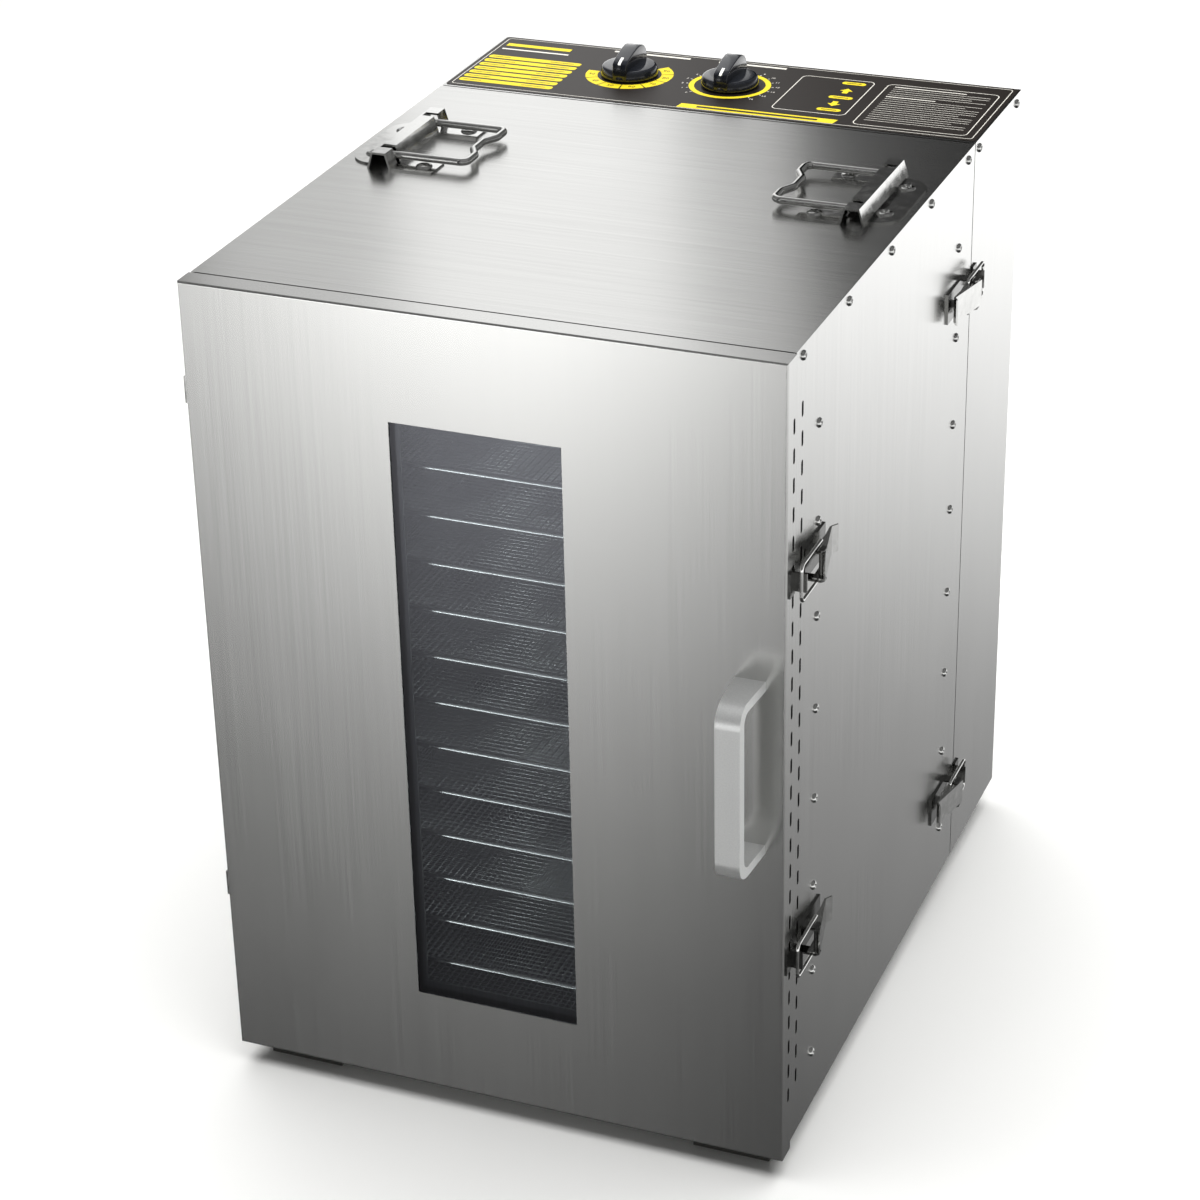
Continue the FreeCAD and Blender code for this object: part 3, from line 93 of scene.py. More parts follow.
def brushed_sheet(name, grain, light, dark, roughness):
    """Brushed sheet steel. The scratches are noise stretched along the grain,
    mixed with a slow cloud, and both colour and gloss follow the mix."""
    material, tree, shader, place, _ = start_material(name, Metallic=1.0)
    stretch = [1000 / (SCRATCH_LENGTH_MM if axis == grain else SCRATCH_GAP_MM) for axis in "xyz"]
    mapped = add(tree, "Mapping", {"Vector": place, "Scale": stretch}).outputs["Vector"]
    scratch = add(tree, "TexNoise", {"Vector": mapped, "Scale": 1.0, "Detail": 3.0})
    cloud = add(tree, "TexNoise", {"Vector": place, "Scale": 1000 / CLOUD_MM, "Detail": 2.0})
    both = add(tree, "Mix", {0: CLOUD_SHARE, 2: scratch.outputs["Fac"], 3: cloud.outputs["Fac"]},
               data_type="FLOAT").outputs[0]
    tint = add(tree, "ValToRGB", {"Fac": both})
    for element, position, colour in zip(tint.color_ramp.elements, (NOISE_LOW, NOISE_HIGH),
                                         (dark, light)):
        element.position, element.color = position, linear(colour)
    tree.links.new(tint.outputs["Color"], shader.inputs["Base Color"])
    rough = add(tree, "MapRange", {"Value": both, "From Min": NOISE_LOW, "From Max": NOISE_HIGH,
                                   "To Min": roughness - GLOSS_SPREAD,
                                   "To Max": roughness + GLOSS_SPREAD})
    tree.links.new(rough.outputs["Result"], shader.inputs["Roughness"])
    return material


def finish(material, *names):
    """Give CAD nodes their material."""
    for name in names:
        nodes[name].data.materials.clear()
        nodes[name].data.materials.append(material)


upright_steel = brushed_sheet("brushed_304_upright_grain", "z", "#d0d0ce", "#c8c8c6", 0.23)
across_steel = brushed_sheet("brushed_304_cross_grain", "x", "#d2d2d0", "#c6c6c4", 0.24)
finish(upright_steel, "door_panel", "right_side_panel", "left_side_panel", "rear_cover")
finish(across_steel, "top_panel", "control_panel", "base_panel")

# Inside sheets: the frame strips, the tray racks, the door's inner panel and
# the air baffle. The same steel left with its mill finish, a duller and more
# even grey than the brushed outside.
mill_steel = brushed_sheet("mill_finish_304", "z", "#a9a9a8", "#989897", 0.42)
finish(mill_steel, "end_frames", "tray_racks", "door_inner_panel", "air_baffle")

# Polished fittings: latches, bails, hinges and handle brackets are pressed and
# bent from stainless strip and wire, then polished bright. Latch plates and
# keepers are the same polished steel given a darker colour, painted shade that
# stands for the shadow and dark reflection of the levers over them.


def mottle(tree, shader, place, light, dark, size_mm, detail=2.0):
    """Colour a surface by noise of one size, from the dark tone to the light
    one. Gives back the noise, for gloss or relief to follow."""
    noise = add(tree, "TexNoise", {"Vector": place, "Scale": 1000 / size_mm, "Detail": detail})
    tone = add(tree, "ValToRGB", {"Fac": noise.outputs["Fac"]})
    for element, colour in zip(tone.color_ramp.elements, (dark, light)):
        element.color = linear(colour)
    tree.links.new(tone.outputs["Color"], shader.inputs["Base Color"])
    return noise.outputs["Fac"]


def polished(name, light, dark):
    """Polished steel: a bright metal with a smear 7 mm across in its gloss,
    which runs from roughness 0.08 to 0.2."""
    material, tree, shader, place, _ = start_material(name, Metallic=1.0)
    smear = mottle(tree, shader, place, light, dark, 7.143, 3.0)
    gloss = add(tree, "MapRange", {"Value": smear, "From Min": NOISE_LOW, "From Max": NOISE_HIGH,
                                   "To Min": 0.08, "To Max": 0.2})
    tree.links.new(gloss.outputs["Result"], shader.inputs["Roughness"])
    return material


bright_steel = polished("polished_304", "#dededc", "#c2c2c0")
# Painted shade: a darker copy of the polished steel for latch plates and keepers.
shade_darkened_steel = polished("polished_304_painted_shade", "#8b8b89", "#6b6b69")
finish(shade_darkened_steel, "latch_bases", "rear_keepers", "door_keepers")
finish(bright_steel, "handle_brackets", "handle_bail_right", "handle_bail_left",
       "hinge_cabinet_leaves", "hinge_door_leaves",
       *(name for name in nodes if name.endswith(("_lever", "_bail"))))

# Door pull: a flat aluminium bar bent to a U and blasted before anodising, so
# it has an even silvery satin with a very fine grit.
satin, tree, shader, place, _ = start_material("satin_anodised_aluminium",
                                               Metallic=0.75, Roughness=0.42)
grit = mottle(tree, shader, place, "#f3f4f3", "#dfe0df", 1.111)
relief = add(tree, "Bump", {"Height": grit, "Strength": 0.12, "Distance": 0.0002})
tree.links.new(relief.outputs["Normal"], shader.inputs["Normal"])
finish(satin, "door_handle")

# Feet, window seal and cable gland: moulded black rubber and nylon, slightly
# dusty, with a fine grain from the mould.


def moulded(name, light, dark, roughness, grain_mm, strength):
    """Moulded plastic or rubber: colour and relief follow a grain of one size."""
    material, tree, shader, place, _ = start_material(name, Roughness=roughness)
    grain = mottle(tree, shader, place, light, dark, grain_mm)
    relief = add(tree, "Bump", {"Height": grain, "Strength": strength, "Distance": 0.0003})
    tree.links.new(relief.outputs["Normal"], shader.inputs["Normal"])
    return material


black_nylon = moulded("black_nylon", "#26272a", "#1b1c1e", 0.45, 1.0, 0.2)
finish(black_nylon, "cable_gland", "thermostat_body", "timer_body")
finish(moulded("moulded_rubber", "#34332f", "#24231f", 0.7, 1.2, 0.3), "feet")
finish(moulded("silicone_seal", "#8d8e8c", "#7b7c7a", 0.55, 1.5, 0.1), "door_seal")

# Window: one pane of 4 mm toughened glass behind the opening in the door skin.
# Each face mirrors 4.5 % straight on and up to 90 % at a slant, and the rest is
# clear with a faint grey.
glass, tree, _, _, output = start_material("toughened_glass")
tree.nodes.remove(tree.nodes["Principled BSDF"])
slant = add(tree, "LayerWeight", {"Blend": 0.5}).outputs["Facing"]
steep = add(tree, "Math", {0: slant, 1: 4.0}, operation="POWER").outputs["Value"]
mirrored = add(tree, "MapRange", {"Value": steep, "To Min": 0.045, "To Max": 0.9})
clear = add(tree, "BsdfTransparent", {"Color": linear("#f0f3f4")})
mirror = add(tree, "BsdfGlossy", {"Color": linear("#f1f1fc"), "Roughness": 0.03})
pane = add(tree, "MixShader", {0: mirrored.outputs["Result"], 1: clear.outputs["BSDF"],
                               2: mirror.outputs["BSDF"]})
tree.links.new(pane.outputs["Shader"], output.inputs["Surface"])
finish(glass, "door_glass")

# Behind the baffle: a cast aluminium fan, an enamelled motor and the sheath
# of the ring heater, dulled by heat.
fan_metal, tree, shader, place, _ = start_material("cast_aluminium", Metallic=1.0, Roughness=0.45)
mottle(tree, shader, place, "#bcbdbd", "#9fa0a0", 2.0, 3.0)
finish(fan_metal, "fan_blade")
finish(moulded("motor_enamel", "#3a3d40", "#2c2e30", 0.4, 2.0, 0.15), "fan_motor")
finish(moulded("heater_sheath", "#5d5750", "#49443e", 0.5, 0.8, 0.2), "heating_element")

# Trays: a square of round wire with bent corners and, welded across it, a fine
# mesh of straight stainless wires. Fifteen of them slide on rails, 36.4 mm
# apart.
tray_wire, tree, shader, place, _ = start_material("bright_drawn_wire",
                                                   Metallic=1.0, Roughness=0.26)
mottle(tree, shader, place, "#fbfbf9", "#ebebe9", 3.333)

# The wires' radii, the mesh's pitch and the radius of the rim's corners.
RIM_WIRE, MESH_WIRE, MESH_PITCH, CORNER = 0.002, 0.00045, 0.005, 0.014


def piece(name, blocks, material, body, smooth=True):
    """Make an object from blocks of vertices and faces and let it ride on a body."""
    vertices, faces, start = [], [], 0
    for block_vertices, block_faces in blocks:
        vertices.append(block_vertices)
        faces += [[int(corner) + start for corner in face] for face in block_faces]
        start += len(block_vertices)
    mesh = bpy.data.meshes.new(name)
    mesh.from_pydata(np.concatenate(vertices).tolist(), [], faces)
    mesh.materials.append(material)
    if smooth:
        mesh.shade_smooth()
    made = bpy.data.objects.new(name, mesh)
    bpy.context.scene.collection.objects.link(made)
    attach(made, body)
    return made


def rounded_rectangle(half_x, half_y, corner, steps=7):
    """Points round a rectangle: a quarter circle about each corner's centre."""
    quarter = np.arange(4)[:, None] * math.pi / 2 + np.linspace(0, math.pi / 2, steps)[None, :]
    signs = np.array([(1, 1), (-1, 1), (-1, -1), (1, -1)])
    centres = signs * np.array([half_x - corner, half_y - corner])
    arcs = centres[:, None, :] + corner * np.stack([np.cos(quarter), np.sin(quarter)], axis=2)
    return arcs.reshape(-1, 2)


def skin(rings, closed=True, caps=False):
    """Faces between rings of points, an array of ring, point and x, y, z."""
    count, around = rings.shape[:2]
    ring = np.arange(count if closed else count - 1)[:, None]
    step = np.arange(around)[None, :]
    after, beside = (ring + 1) % count, (step + 1) % around
    quads = np.stack([ring * around + step, ring * around + beside,
                      after * around + beside, after * around + step], axis=2)
    faces = quads.reshape(-1, 4).tolist()
    if caps and not closed:
        faces += [list(range(around))[::-1], list(range((count - 1) * around, count * around))]
    return rings.reshape(-1, 3), faces


def tube(path, radius, sides, closed=True):
    """A round wire: a circle carried along a path, square to its direction.
    The circle's first axis lies in the path's own flat plane."""
    path = np.asarray(path, float)
    if closed:
        ahead = np.roll(path, -1, axis=0) - np.roll(path, 1, axis=0)
    else:
        ahead = np.gradient(path, axis=0)
    ahead /= np.linalg.norm(ahead, axis=1, keepdims=True)
    spread = np.linalg.svd(path - path.mean(0))[2][2]
    beside = np.cross(ahead, spread)
    beside /= np.linalg.norm(beside, axis=1, keepdims=True)
    turn = np.linspace(0, 2 * math.pi, sides, endpoint=False)
    circle = (np.cos(turn)[None, :, None] * beside[:, None, :]
              + np.sin(turn)[None, :, None] * np.cross(ahead, beside)[:, None, :])
    return skin(path[:, None, :] + radius * circle, closed, caps=not closed)


def mesh_wires(half, corner, pitch, wire, level, lengthwise):
    """Parallel straight wires across a rounded square, as six-sided bars. A
    wire's half length is the square's, less the corner's bite where it has one."""
    count = int(2 * (half - wire) / pitch)
    offset = (np.arange(count) - (count - 1) / 2) * pitch
    bite = np.clip(np.abs(offset) - (half - corner), 0, corner)
    reach = half - corner + np.sqrt(corner ** 2 - bite ** 2)
    turn = np.arange(6) * math.pi / 3
    ends = np.stack([-reach, reach], axis=1)[:, :, None] + np.zeros(6)
    side = offset[:, None, None] + wire * np.cos(turn)
    side = np.broadcast_to(side, ends.shape)
    lift = np.broadcast_to(level + wire * np.sin(turn), ends.shape)
    order = [side, ends, lift] if lengthwise else [ends, side, lift]
    bars = np.stack(order, axis=3)
    vertices, faces = [], []
    for bar_number, bar in enumerate(bars):
        points, bar_faces = skin(bar, closed=False, caps=True)
        vertices.append(points)
        if lengthwise:
            bar_faces = [face[::-1] for face in bar_faces]
        start = bar_number * len(points)
        faces += [[index + start for index in face] for face in bar_faces]
    return np.concatenate(vertices), faces


for number in range(1, 16):
    low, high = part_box(f"tray_{number:02d}")
    half_x, half_y = (high.x - low.x) / 2 - RIM_WIRE, (high.y - low.y) / 2 - RIM_WIRE
    centre = np.array([(low.x + high.x) / 2, (low.y + high.y) / 2, (low.z + high.z) / 2])
    rim_path = np.pad(rounded_rectangle(half_x, half_y, CORNER), ((0, 0), (0, 1)))
    blocks = [tube(rim_path, RIM_WIRE, 10)]
    for lengthwise, level in ((True, MESH_WIRE), (False, -MESH_WIRE)):
        blocks.append(mesh_wires(half_x, CORNER, MESH_PITCH, MESH_WIRE, level, lengthwise))
    blocks = [(points + centre, faces) for points, faces in blocks]
    tray = piece(f"tray_{number:02d}_mesh", blocks, tray_wire, f"tray_{number:02d}_body")
    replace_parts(tray, f"tray_{number:02d}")

# Screws: zinc-bright stainless pan heads with a cross recess, turned down
# onto the sheets in columns over the racks' posts and in rows under the top
# edge. Four larger ones hold each handle bracket.
screw_steel, tree, shader, place, _ = start_material("cold_headed_304",
                                                     Metallic=1.0, Roughness=0.24)
mottle(tree, shader, place, "#d2d2d0", "#a8a8a6", 1.4286)


def pan_head(centre, outward, radius, rise, sides, rows):
    """A screw head: a shallow dome whose height falls as a flattened ellipse
    from middle to edge, less a cross-shaped recess with tapering arms."""
    outward = np.array(outward, float)
    first = np.cross(outward, (0.3, 0.5, 0.81))
    first /= np.linalg.norm(first)
    second = np.cross(outward, first)
    share = np.linspace(1.0, 0.0, rows, endpoint=False)[:, None]
    turn = np.linspace(0, 2 * math.pi, sides, endpoint=False)[None, :]
    along, across = share * np.cos(turn), share * np.sin(turn)
    arm_half, arm_reach, arm_depth = 0.17, 0.56, 0.45

    def arm(one, other):
        """One arm of the cross: full at its middle line, none past its side
        or its end."""
        return np.clip(1 - (np.abs(one) / arm_half) ** 3, 0, 1) * (np.abs(other) < arm_reach)

    dome = rise * (1 - share ** 3.2) ** 0.55
    height = dome - arm_depth * rise * np.maximum(arm(along, across), arm(across, along))
    rings = (centre + radius * (along[..., None] * first + across[..., None] * second)
             + height[..., None] * outward)
    foot = rings[:1] - 0.0002 * outward
    return skin(np.concatenate([foot, rings]), closed=False, caps=True)


steel_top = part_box("top_panel")[1].z
side_face, module_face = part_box("right_side_panel")[1].x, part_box("rear_cover")[1].x
door_front, door_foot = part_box("door_panel")[0].y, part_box("door_panel")[0].z

# Radius, rise, and how many sides and rows of faces, of each size of head.
SMALL, LARGE = (0.0036, 0.0021, 24, 7), (0.0062, 0.0019, 48, 14)
# Distances back from the door's face, and up from its foot or down from the top.
POST_BACK, POST_FOOT, POST_PITCH = (0.067, 0.395), 0.0504, 0.0709
EDGE_BACK, EDGE_PITCH, EDGE_DROP = 0.0325, 0.0954, 0.007
MODULE_BACK = (0.4427, 0.5478)
# The handles' distance back, their bracket's thickness, and each pair of
# screws' distance out from the middle and half gap.
HANDLE_BACK, BRACKET, BRACKET_PAIRS = 0.2945, 0.0015, ((0.195, 0.0265), (0.1485, 0.0405))

heads, module_heads = [], []
for sign in (-1, 1):
    outward = (sign, 0, 0)
    for back in POST_BACK:
        for number in range(8):
            spot = (sign * side_face, door_front + back,
                    door_foot + POST_FOOT + POST_PITCH * number)
            heads.append(pan_head(spot, outward, *SMALL))
    for number in range(5):
        spot = (sign * side_face, door_front + EDGE_BACK + EDGE_PITCH * number,
                steel_top - EDGE_DROP)
        heads.append(pan_head(spot, outward, *SMALL))
    for across, half_gap in BRACKET_PAIRS:
        for end in (-1, 1):
            spot = (sign * across, door_front + HANDLE_BACK + end * half_gap, steel_top + BRACKET)
            heads.append(pan_head(spot, (0, 0, 1), *LARGE))
    for back in MODULE_BACK:
        spot = (sign * module_face, door_front + back, steel_top - EDGE_DROP)
        module_heads.append(pan_head(spot, outward, *SMALL))
for name, made_heads, body, node in (("cabinet_pan_heads", heads, "cabinet", "cabinet_screws"),
                                     ("module_pan_heads", module_heads, "rear_module",
                                      "rear_cover_screws")):
    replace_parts(piece(name, made_heads, screw_steel, body), node)

# Control label: a brown-black polyester film stuck on the control panel, with
# its scales and panels screen-printed in yellow and white ink that stands a
# little proud. Words are left out; bars and strokes stand for their lines.


def printed(name, light, dark, roughness):
    """Film or ink: an even colour with a faint mottle 0.8 mm across."""
    material, tree, shader, place, _ = start_material(name, Roughness=roughness)
    mottle(tree, shader, place, light, dark, 0.8)
    return material


film = printed("polyester_film", "#1f1a17", "#171310", 0.5)
yellow_ink = printed("yellow_screen_ink", "#dcc824", "#d0ba18", 0.55)
white_ink = printed("white_screen_ink", "#dedbd2", "#cbc8bf", 0.5)


def plate(outline, low, high):
    """A flat sheet: a counter-clockwise outline raised from low to high."""
    outline = np.asarray(outline, float)
    rings = np.stack([np.column_stack([outline, np.full(len(outline), level)])
                      for level in (low, high)])
    return skin(rings, closed=False, caps=True)


def ribbon(path, width, low, high, closed=False):
    """A printed stroke: a flat oblong carried along a path, square to it."""
    path = np.asarray(path, float)
    if closed:
        ahead = np.roll(path, -1, axis=0) - np.roll(path, 1, axis=0)
    else:
        ahead = np.gradient(path, axis=0)
    ahead /= np.linalg.norm(ahead, axis=1, keepdims=True)
    left = np.column_stack([-ahead[:, 1], ahead[:, 0]]) * width / 2
    heights = np.ones((len(path), 1))
    corners = [np.hstack([path + side * left, level * heights])
               for side, level in ((1, low), (1, high), (-1, high), (-1, low))]
    return skin(np.stack(corners, axis=1), closed, caps=not closed)


def stroke(left, right, level, width, heights):
    """A straight printed line across the label, at one level."""
    return ribbon([(left, level), (right, level)], width, *heights)


def arc(centre, radius, start, end, steps=24):
    """Points on a circle between two angles in degrees, 0 to the right."""
    turn = np.radians(np.linspace(start, end, steps))
    return np.array(centre) + radius * np.column_stack([np.cos(turn), np.sin(turn)])


def on_circle(centre, radius, angle):
    """The one point on a circle at an angle in degrees."""
    return arc(centre, radius, angle, angle, 1)[0]


def numeral(text, height, centre, low, high):
    """A number for a dial, from the plain built-in face, as a thin solid."""
    curve = bpy.data.curves.new("numeral", "FONT")
    curve.body, curve.size = text, height
    curve.align_x, curve.align_y = "CENTER", "CENTER"
    curve.resolution_u, curve.extrude = 2, (high - low) / 2
    text_object = bpy.data.objects.new("numeral", curve)
    bpy.context.scene.collection.objects.link(text_object)
    mesh = bpy.data.meshes.new_from_object(text_object)
    bpy.data.objects.remove(text_object)
    points = np.array([vertex.co for vertex in mesh.vertices]).reshape(-1, 3)
    faces = [list(face.vertices) for face in mesh.polygons]
    bpy.data.meshes.remove(mesh)
    return points + np.array([*centre, (low + high) / 2]), faces


# Thicknesses of the glue, the film, the ink and the ink on ink, and the levels
# of each ink's underside and top.
GLUE, FILM, INK_COAT, OVER_COAT = 0.00002, 0.0003, 0.00008, 0.00006
INK = (steel_top + FILM, steel_top + FILM + INK_COAT)
OVER_INK = (INK[1], INK[1] + OVER_COAT)

LABEL_MIDDLE, LABEL_HALF, LABEL_CORNER = np.array([0.0, 0.2325]), np.array([0.2125, 0.0625]), 0.003
BORDER_INSET, FINE, HAIR = 0.0035, 0.0007, 0.0005
outline = rounded_rectangle(*LABEL_HALF, LABEL_CORNER) + LABEL_MIDDLE
piece("label_film", [plate(outline, steel_top + GLUE, INK[0])], film, "rear_module",
      False)

yellow, white, brown = [], [], []
border = rounded_rectangle(*(LABEL_HALF - BORDER_INSET), LABEL_CORNER) + LABEL_MIDDLE
white.append(ribbon(border, 0.0006, *INK, closed=True))

# Seven yellow bars at the left, each with two dark strokes, under two titles.
BAR_HEIGHT, BAR_CORNER, BAR_FOOT, BAR_PITCH = 0.0070, 0.0025, 0.1855, 0.0099
BAR_LEFT, BAR_RIGHT, WORD_WIDTH = -0.207, -0.129, 0.0009
bar = rounded_rectangle((BAR_RIGHT - BAR_LEFT) / 2, BAR_HEIGHT / 2, BAR_CORNER)
for row in range(7):
    level = BAR_FOOT + BAR_PITCH * row
    yellow.append(plate(bar + np.array([(BAR_LEFT + BAR_RIGHT) / 2, level]), *INK))
    food = (BAR_LEFT + 0.003, BAR_LEFT + 0.018 + 0.004 * (row % 3))
    heat = (BAR_RIGHT - 0.026, BAR_RIGHT - 0.006)
    brown += [stroke(*ends, level, WORD_WIDTH, OVER_INK) for ends in (food, heat)]
yellow.append(stroke(-0.205, -0.150, 0.2765, 0.0062, INK))
white.append(stroke(-0.205, -0.148, 0.2655, 0.0026, INK))

# The temperature dial: seven yellow segments with dark numbers. The timer: a
# thin yellow ring with white ticks and numbers round it. A title over each.
TEMPERATURE, TIMER, DIAL_RADIUS = np.array([-0.084, 0.235]), np.array([-0.001, 0.235]), 0.0298
SEGMENT_START, SEGMENT_STEP, SEGMENT_SWEEP, SEGMENT_WIDTH = 178, 33.4, 31.6, 0.0094
for number in range(7):
    start = SEGMENT_START + SEGMENT_STEP * number
    segment = arc(TEMPERATURE, DIAL_RADIUS, start, start + SEGMENT_SWEEP, 14)
    yellow.append(ribbon(segment, SEGMENT_WIDTH, *INK))
    spot = on_circle(TEMPERATURE, DIAL_RADIUS, start + SEGMENT_SWEEP / 2)
    brown.append(numeral(str(30 + 10 * number), 0.0056, spot, *OVER_INK))
TIMER_RING, TICK_INSIDE, TICK_OUTSIDE, TIMER_NUMBERS = 0.0042, 0.0326, 0.0342, 0.0372
yellow.append(ribbon(arc(TIMER, DIAL_RADIUS, 0, 360, 73)[:-1], TIMER_RING, *INK, closed=True))
for number in range(16):
    angle = 225 - 18 * number
    tick = [on_circle(TIMER, radius, angle) for radius in (TICK_INSIDE, TICK_OUTSIDE)]
    white.append(ribbon(tick, FINE, *INK))
    white.append(numeral(str(number), 0.0036, on_circle(TIMER, TIMER_NUMBERS, angle), *INK))
for left, right in ((-0.116, -0.052), (-0.028, 0.028)):
    white.append(stroke(left, right, 0.2862, 0.0032, INK))

# A yellow strip with slanting ends under the dials, with one dark stroke.
strip = [(-0.023, 0.1745), (0.1015, 0.1745), (0.103, 0.1835), (-0.0215, 0.1835)]
yellow.append(plate(strip, *INK))
brown.append(stroke(-0.008, 0.088, 0.179, 0.0034, OVER_INK))

# Two white frames: three yellow keys with arrows between them in the first, and
# lines of text, two of them headings, in the second.
STEPS_FRAME, TEXT_FRAME = ((0.075, 0.235), (0.029, 0.041)), ((0.159, 0.2275), (0.044, 0.0485))
for middle, half in (STEPS_FRAME, TEXT_FRAME):
    frame_line = rounded_rectangle(*half, 0.005) + np.array(middle)
    white.append(ribbon(frame_line, FINE, *INK, closed=True))
key = rounded_rectangle(0.0095, 0.003, 0.0029)
for level in (0.268, 0.2335, 0.204):
    yellow.append(plate(key + np.array([0.089, level]), *INK))
    brown.append(stroke(0.083, 0.095, level, 0.0012, OVER_INK))
arrow = np.array([(-0.0022, -0.0055), (0.0022, -0.0055), (0.0022, 0.0), (0.0052, 0.0),
                  (0.0, 0.0058), (-0.0052, 0.0), (-0.0022, 0.0)])
for level, up in ((0.2495, 1), (0.2185, -1)):
    yellow.append(plate((arrow * (1, up))[::up] + (0.0885, level), *INK))

TEXT_TOP, TEXT_PITCH, TEXT_LEFT, TEXT_RIGHT, LAST_LINE_GAP = 0.2705, 0.0047, 0.121, 0.198, 0.012
HEADING_RIGHT, HEADING_WIDTH = {0: 0.178, 5: 0.160}, 0.0014
for row in range(18):
    right = HEADING_RIGHT.get(row, TEXT_RIGHT) - LAST_LINE_GAP * (row % 4 == 3)
    width = HEADING_WIDTH if row in HEADING_RIGHT else HAIR
    white.append(stroke(TEXT_LEFT, right, TEXT_TOP - TEXT_PITCH * row, width, INK))

piece("label_yellow_print", yellow, yellow_ink, "rear_module", False)
piece("label_white_print", white, white_ink, "rear_module", False)
piece("label_dark_print", brown, film, "rear_module", False)

# Knobs: moulded in glossy black phenolic, a round skirt with a grip bar across
# it that drops to a white pointer at its front end.
knob_black, tree, shader, place, _ = start_material("glossy_phenolic",
                                                    Roughness=0.16, Coat_Weight=0.3)
mottle(tree, shader, place, "#1c1f25", "#131519", 4.167, 3.0)
pointer_white = printed("filled_pointer_line", "#f2f2ee", "#e4e4df", 0.45)


def turned_skirt(centre):
    """The skirt: a profile of radius and height turned about the knob's axis."""
    radius = np.array([0.0225, 0.0225, 0.0223, 0.0216, 0.0211, 0.0202, 0.0190, 0.0120])[:, None]
    height = np.array([0.0, 0.0012, 0.0035, 0.0062, 0.0073, 0.0079, 0.0081, 0.0085])[:, None]
    turn = np.linspace(0, 2 * math.pi, 64, endpoint=False)
    rings = np.stack([radius * np.cos(turn), radius * np.sin(turn), height + 0 * turn], axis=2)
    points, faces = skin(rings, closed=False, caps=True)
    return points + centre, faces


def grip_profile():
    """The grip's side view, from its front foot over the top to its back foot:
    an upright front, a slope, and a crown that rounds off behind."""
    back = np.array([-0.0222, -0.0221, -0.0219, -0.0208, -0.0140, -0.0060, 0.0010, 0.0065,
                     0.0115, 0.0158, 0.0190, 0.0207, 0.0212, 0.0213])
    height = np.array([0.001, 0.0080, 0.0138, 0.0150, 0.0172, 0.0194, 0.0209, 0.0214,
                       0.0209, 0.0190, 0.0156, 0.0112, 0.0060, 0.001])
    return back, height


def grip_bar(centre):
    """The grip: its side view spread across, a little wider towards the back."""
    back, height = grip_profile()
    half = 0.0056 + 0.028 * (back + 0.0222)
    rings = np.stack([np.column_stack([side * half, back, height]) for side in (1, -1)])
    points, faces = skin(rings, closed=False, caps=True)
    return points + centre, faces


def pointer(centre):
    """The white line: a strip laid over the grip's front end, from a half
    thickness inside the grip's skin to as much outside it."""
    half_width, half_thickness = 0.0011, 0.00025
    back, height = (values[2:5] for values in grip_profile())
    out = np.array([(-1.0, 0.15), (-0.4, 0.9), (-0.3, 0.95)]) * half_thickness
    corners = [np.column_stack([np.full(3, side * half_width), back + lift * out[:, 0],
                                height + lift * out[:, 1]])
               for side, lift in ((-1, -1), (-1, 1), (1, 1), (1, -1))]
    points, faces = skin(np.stack(corners, axis=1), closed=False, caps=True)
    return points + centre, faces


for name, at in (("temperature", TEMPERATURE), ("timer", TIMER)):
    body, foot = f"{name}_dial", np.array([*at, steel_top + 0.001])
    knob = piece(f"{name}_knob_moulding", [turned_skirt(foot), grip_bar(foot)], knob_black, body)
    edges = knob.modifiers.new("edges", "BEVEL")
    edges.width, edges.segments = 0.0007, 3
    edges.limit_method, edges.angle_limit = "ANGLE", math.radians(50)
    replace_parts(knob, f"{name}_knob")
    piece(f"{name}_knob_pointer", [pointer(foot)], pointer_white, body, False)

# Stage: a plain pale floor, a soft sky and three soft boxes. The sky is at its
# brightest low down, and dark bands in it round the object stand for cards, so
# that the bare steel mirrors a soft fall of light instead of one flat white.
floor_mesh = bpy.data.meshes.new("floor")
floor_mesh.from_pydata([(-9, -9, 0), (9, -9, 0), (9, 9, 0), (-9, 9, 0)], [], [(0, 1, 2, 3)])
floor = bpy.data.objects.new("floor", floor_mesh)
bpy.context.scene.collection.objects.link(floor)
paper, tree, shader, place, _ = start_material("white_paper", Roughness=0.9)
shader.inputs["Base Color"].default_value = linear("#f4f4f2")
floor_mesh.materials.append(paper)
floor.visible_glossy = False

world = bpy.data.worlds.new("studio")
world.use_nodes = True
bpy.context.scene.world = world
tree = world.node_tree
tree.nodes.clear()
direction = add(tree, "TexCoord").outputs["Generated"]
ahead = add(tree, "SeparateXYZ", {"Vector": direction}).outputs


def grey_stops(value, low, high, stops):
    """A grey that follows a value from low to high through a list of stops."""
    share = add(tree, "MapRange", {"Value": value, "From Min": low, "From Max": high})
    node = add(tree, "ValToRGB", {"Fac": share.outputs["Result"]})
    ramp = node.color_ramp
    for position, level in stops[1:-1]:
        ramp.elements.new((position - low) / (high - low))
    for element, (position, level) in zip(ramp.elements, stops):
        element.position = (position - low) / (high - low)
        element.color = (level, level, level, 1)
    return node.outputs["Color"]


def times(one, other):
    """Two greys multiplied."""
    product = add(tree, "Mix", {0: 1.0, 6: one, 7: other}, data_type="RGBA",
                  blend_type="MULTIPLY")
    return product.outputs[2]


# Light by height, the sine of the angle above the floor: for the half of the sky
# behind the door's face, and for the half in front of it.
ROUND_HEIGHTS = [(-0.62, 0.03), (-0.48, 0.22), (-0.32, 1.0), (-0.2, 0.88), (-0.08, 0.85),
                 (0.1, 0.1), (0.5, 0.07), (1.0, 0.15)]
FRONT_HEIGHTS = [(-0.62, 0.025), (-0.55, 0.05), (-0.48, 0.13), (-0.40, 0.45), (-0.32, 1.0),
                 (-0.08, 1.0), (0.1, 0.1), (1.0, 0.15)]
ROUND_STRENGTH, FRONT_STRENGTH = 1.9, 5.3
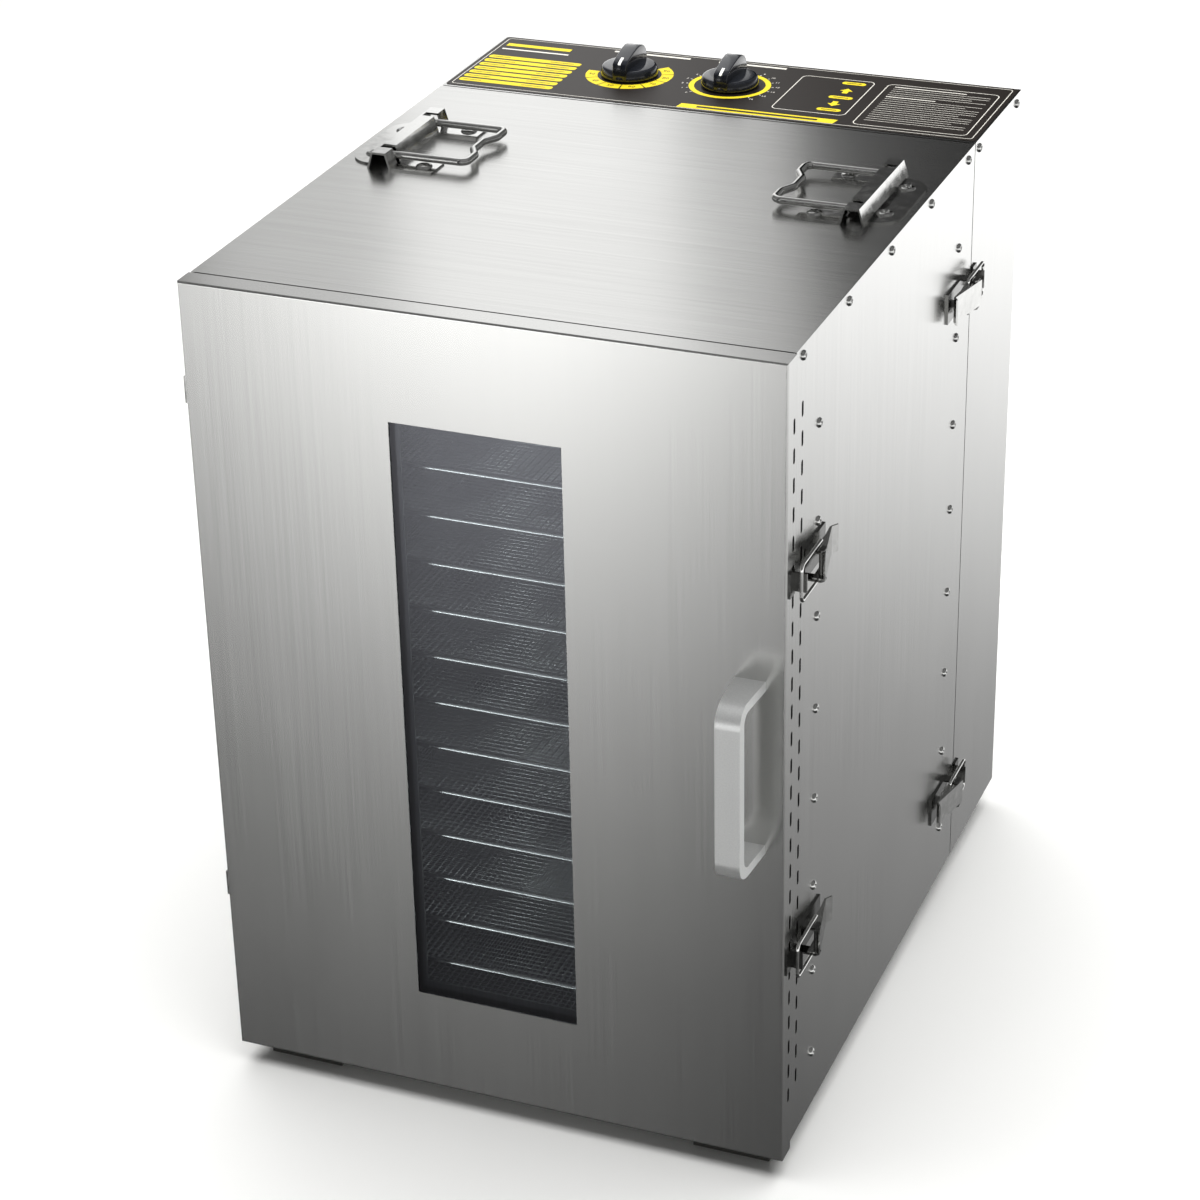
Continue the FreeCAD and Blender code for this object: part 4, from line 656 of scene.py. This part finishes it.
# Light that the sky's dark bands, standing for cards, let by, by degrees round from the front
# towards the right.
CARDS = [(-180, 0.03), (-166, 0.03), (-160, 1.0), (-96, 1.0), (-88, 0.36), (-60, 0.36),
         (-42, 0.1), (-28.8, 0.1), (-25, 1.0), (-20.6, 1.0), (-18.6, 0.03), (-8, 0.05),
         (10, 0.36), (86, 0.36), (94, 1.0), (172, 1.0), (178, 0.03), (180, 0.03)]
all_round = grey_stops(ahead["Z"], -1.0, 1.0, ROUND_HEIGHTS)
low_front = grey_stops(ahead["Z"], -1.0, 1.0, FRONT_HEIGHTS)
toward_front = add(tree, "Math", {0: ahead["Y"], 1: -1.0}, operation="MULTIPLY")
round_angle = add(tree, "Math", {0: ahead["X"], 1: toward_front.outputs["Value"]},
                  operation="ARCTAN2")
past_cards = grey_stops(round_angle.outputs["Value"], -math.pi, math.pi,
                        [(math.radians(angle), level) for angle, level in CARDS])
front = add(tree, "Math", {0: ahead["Y"], 1: 0.0}, operation="LESS_THAN")
halves = [add(tree, "Background", {"Color": times(heights, past_cards), "Strength": strength})
          for heights, strength in ((all_round, ROUND_STRENGTH), (low_front, FRONT_STRENGTH))]
sky = add(tree, "MixShader", {0: front.outputs["Value"], 1: halves[0].outputs["Background"],
                              2: halves[1].outputs["Background"]})
add(tree, "OutputWorld", {"Surface": sky.outputs["Shader"]})


def soft_box(name, place, target, width, height, power, glossy=True, diffuse=True):
    """A soft box: an even rectangle of light at a place, facing a target."""
    light = bpy.data.lights.new(name, "AREA")
    light.shape, light.size, light.size_y, light.energy = "RECTANGLE", width, height, power
    lamp = bpy.data.objects.new(name, light)
    lamp.location = place
    facing = np.array(target, float) - np.array(place, float)
    lamp.rotation_euler = Vector(facing).to_track_quat("-Z", "Y").to_euler()
    lamp.visible_glossy, lamp.visible_diffuse, lamp.visible_camera = glossy, diffuse, False
    bpy.context.scene.collection.objects.link(lamp)


# One large box lights the scene, and two that only mirrors see lie across the
# top sheet as a soft band.
TOP_TARGET = (0.0, 0.05, 0.64)
soft_box("overhead", (0.0, 0.5, 3.4), (0, 0.5, 0), 5.0, 5.0, 270, glossy=False)
soft_box("top_wide", (-0.47, 0.85, 1.15), TOP_TARGET, 0.66, 1.2, 1.6, diffuse=False)
soft_box("top_core", (-0.42, 0.85, 1.15), TOP_TARGET, 0.30, 1.2, 0.62, diffuse=False)

# Camera: a long lens about 2.5 m away, above and to the right of the door, and
# turned a little about its own axis.
camera_data = bpy.data.cameras.new("camera")
camera_data.sensor_width, camera_data.lens = 36.0, 96.3
camera_data.clip_start, camera_data.clip_end = 0.1, 50.0
camera = bpy.data.objects.new("camera", camera_data)
azimuth, elevation, roll = math.radians(22.15), math.radians(27.45), math.radians(-1.25)
forward = np.array([-math.sin(azimuth) * math.cos(elevation),
                    math.cos(azimuth) * math.cos(elevation), -math.sin(elevation)])
level_right = np.array([math.cos(azimuth), math.sin(azimuth), 0.0])
level_up = np.cross(level_right, forward)
right = math.cos(roll) * level_right + math.sin(roll) * level_up
up = -math.sin(roll) * level_right + math.cos(roll) * level_up
turned = Matrix([(right[k], up[k], -forward[k]) for k in range(3)]).to_4x4()
turned.translation = (0.7961, -2.0120, 1.4252)
camera.matrix_world = turned
bpy.context.scene.collection.objects.link(camera)
bpy.context.scene.camera = camera
bpy.context.scene.view_settings.view_transform = "Standard"
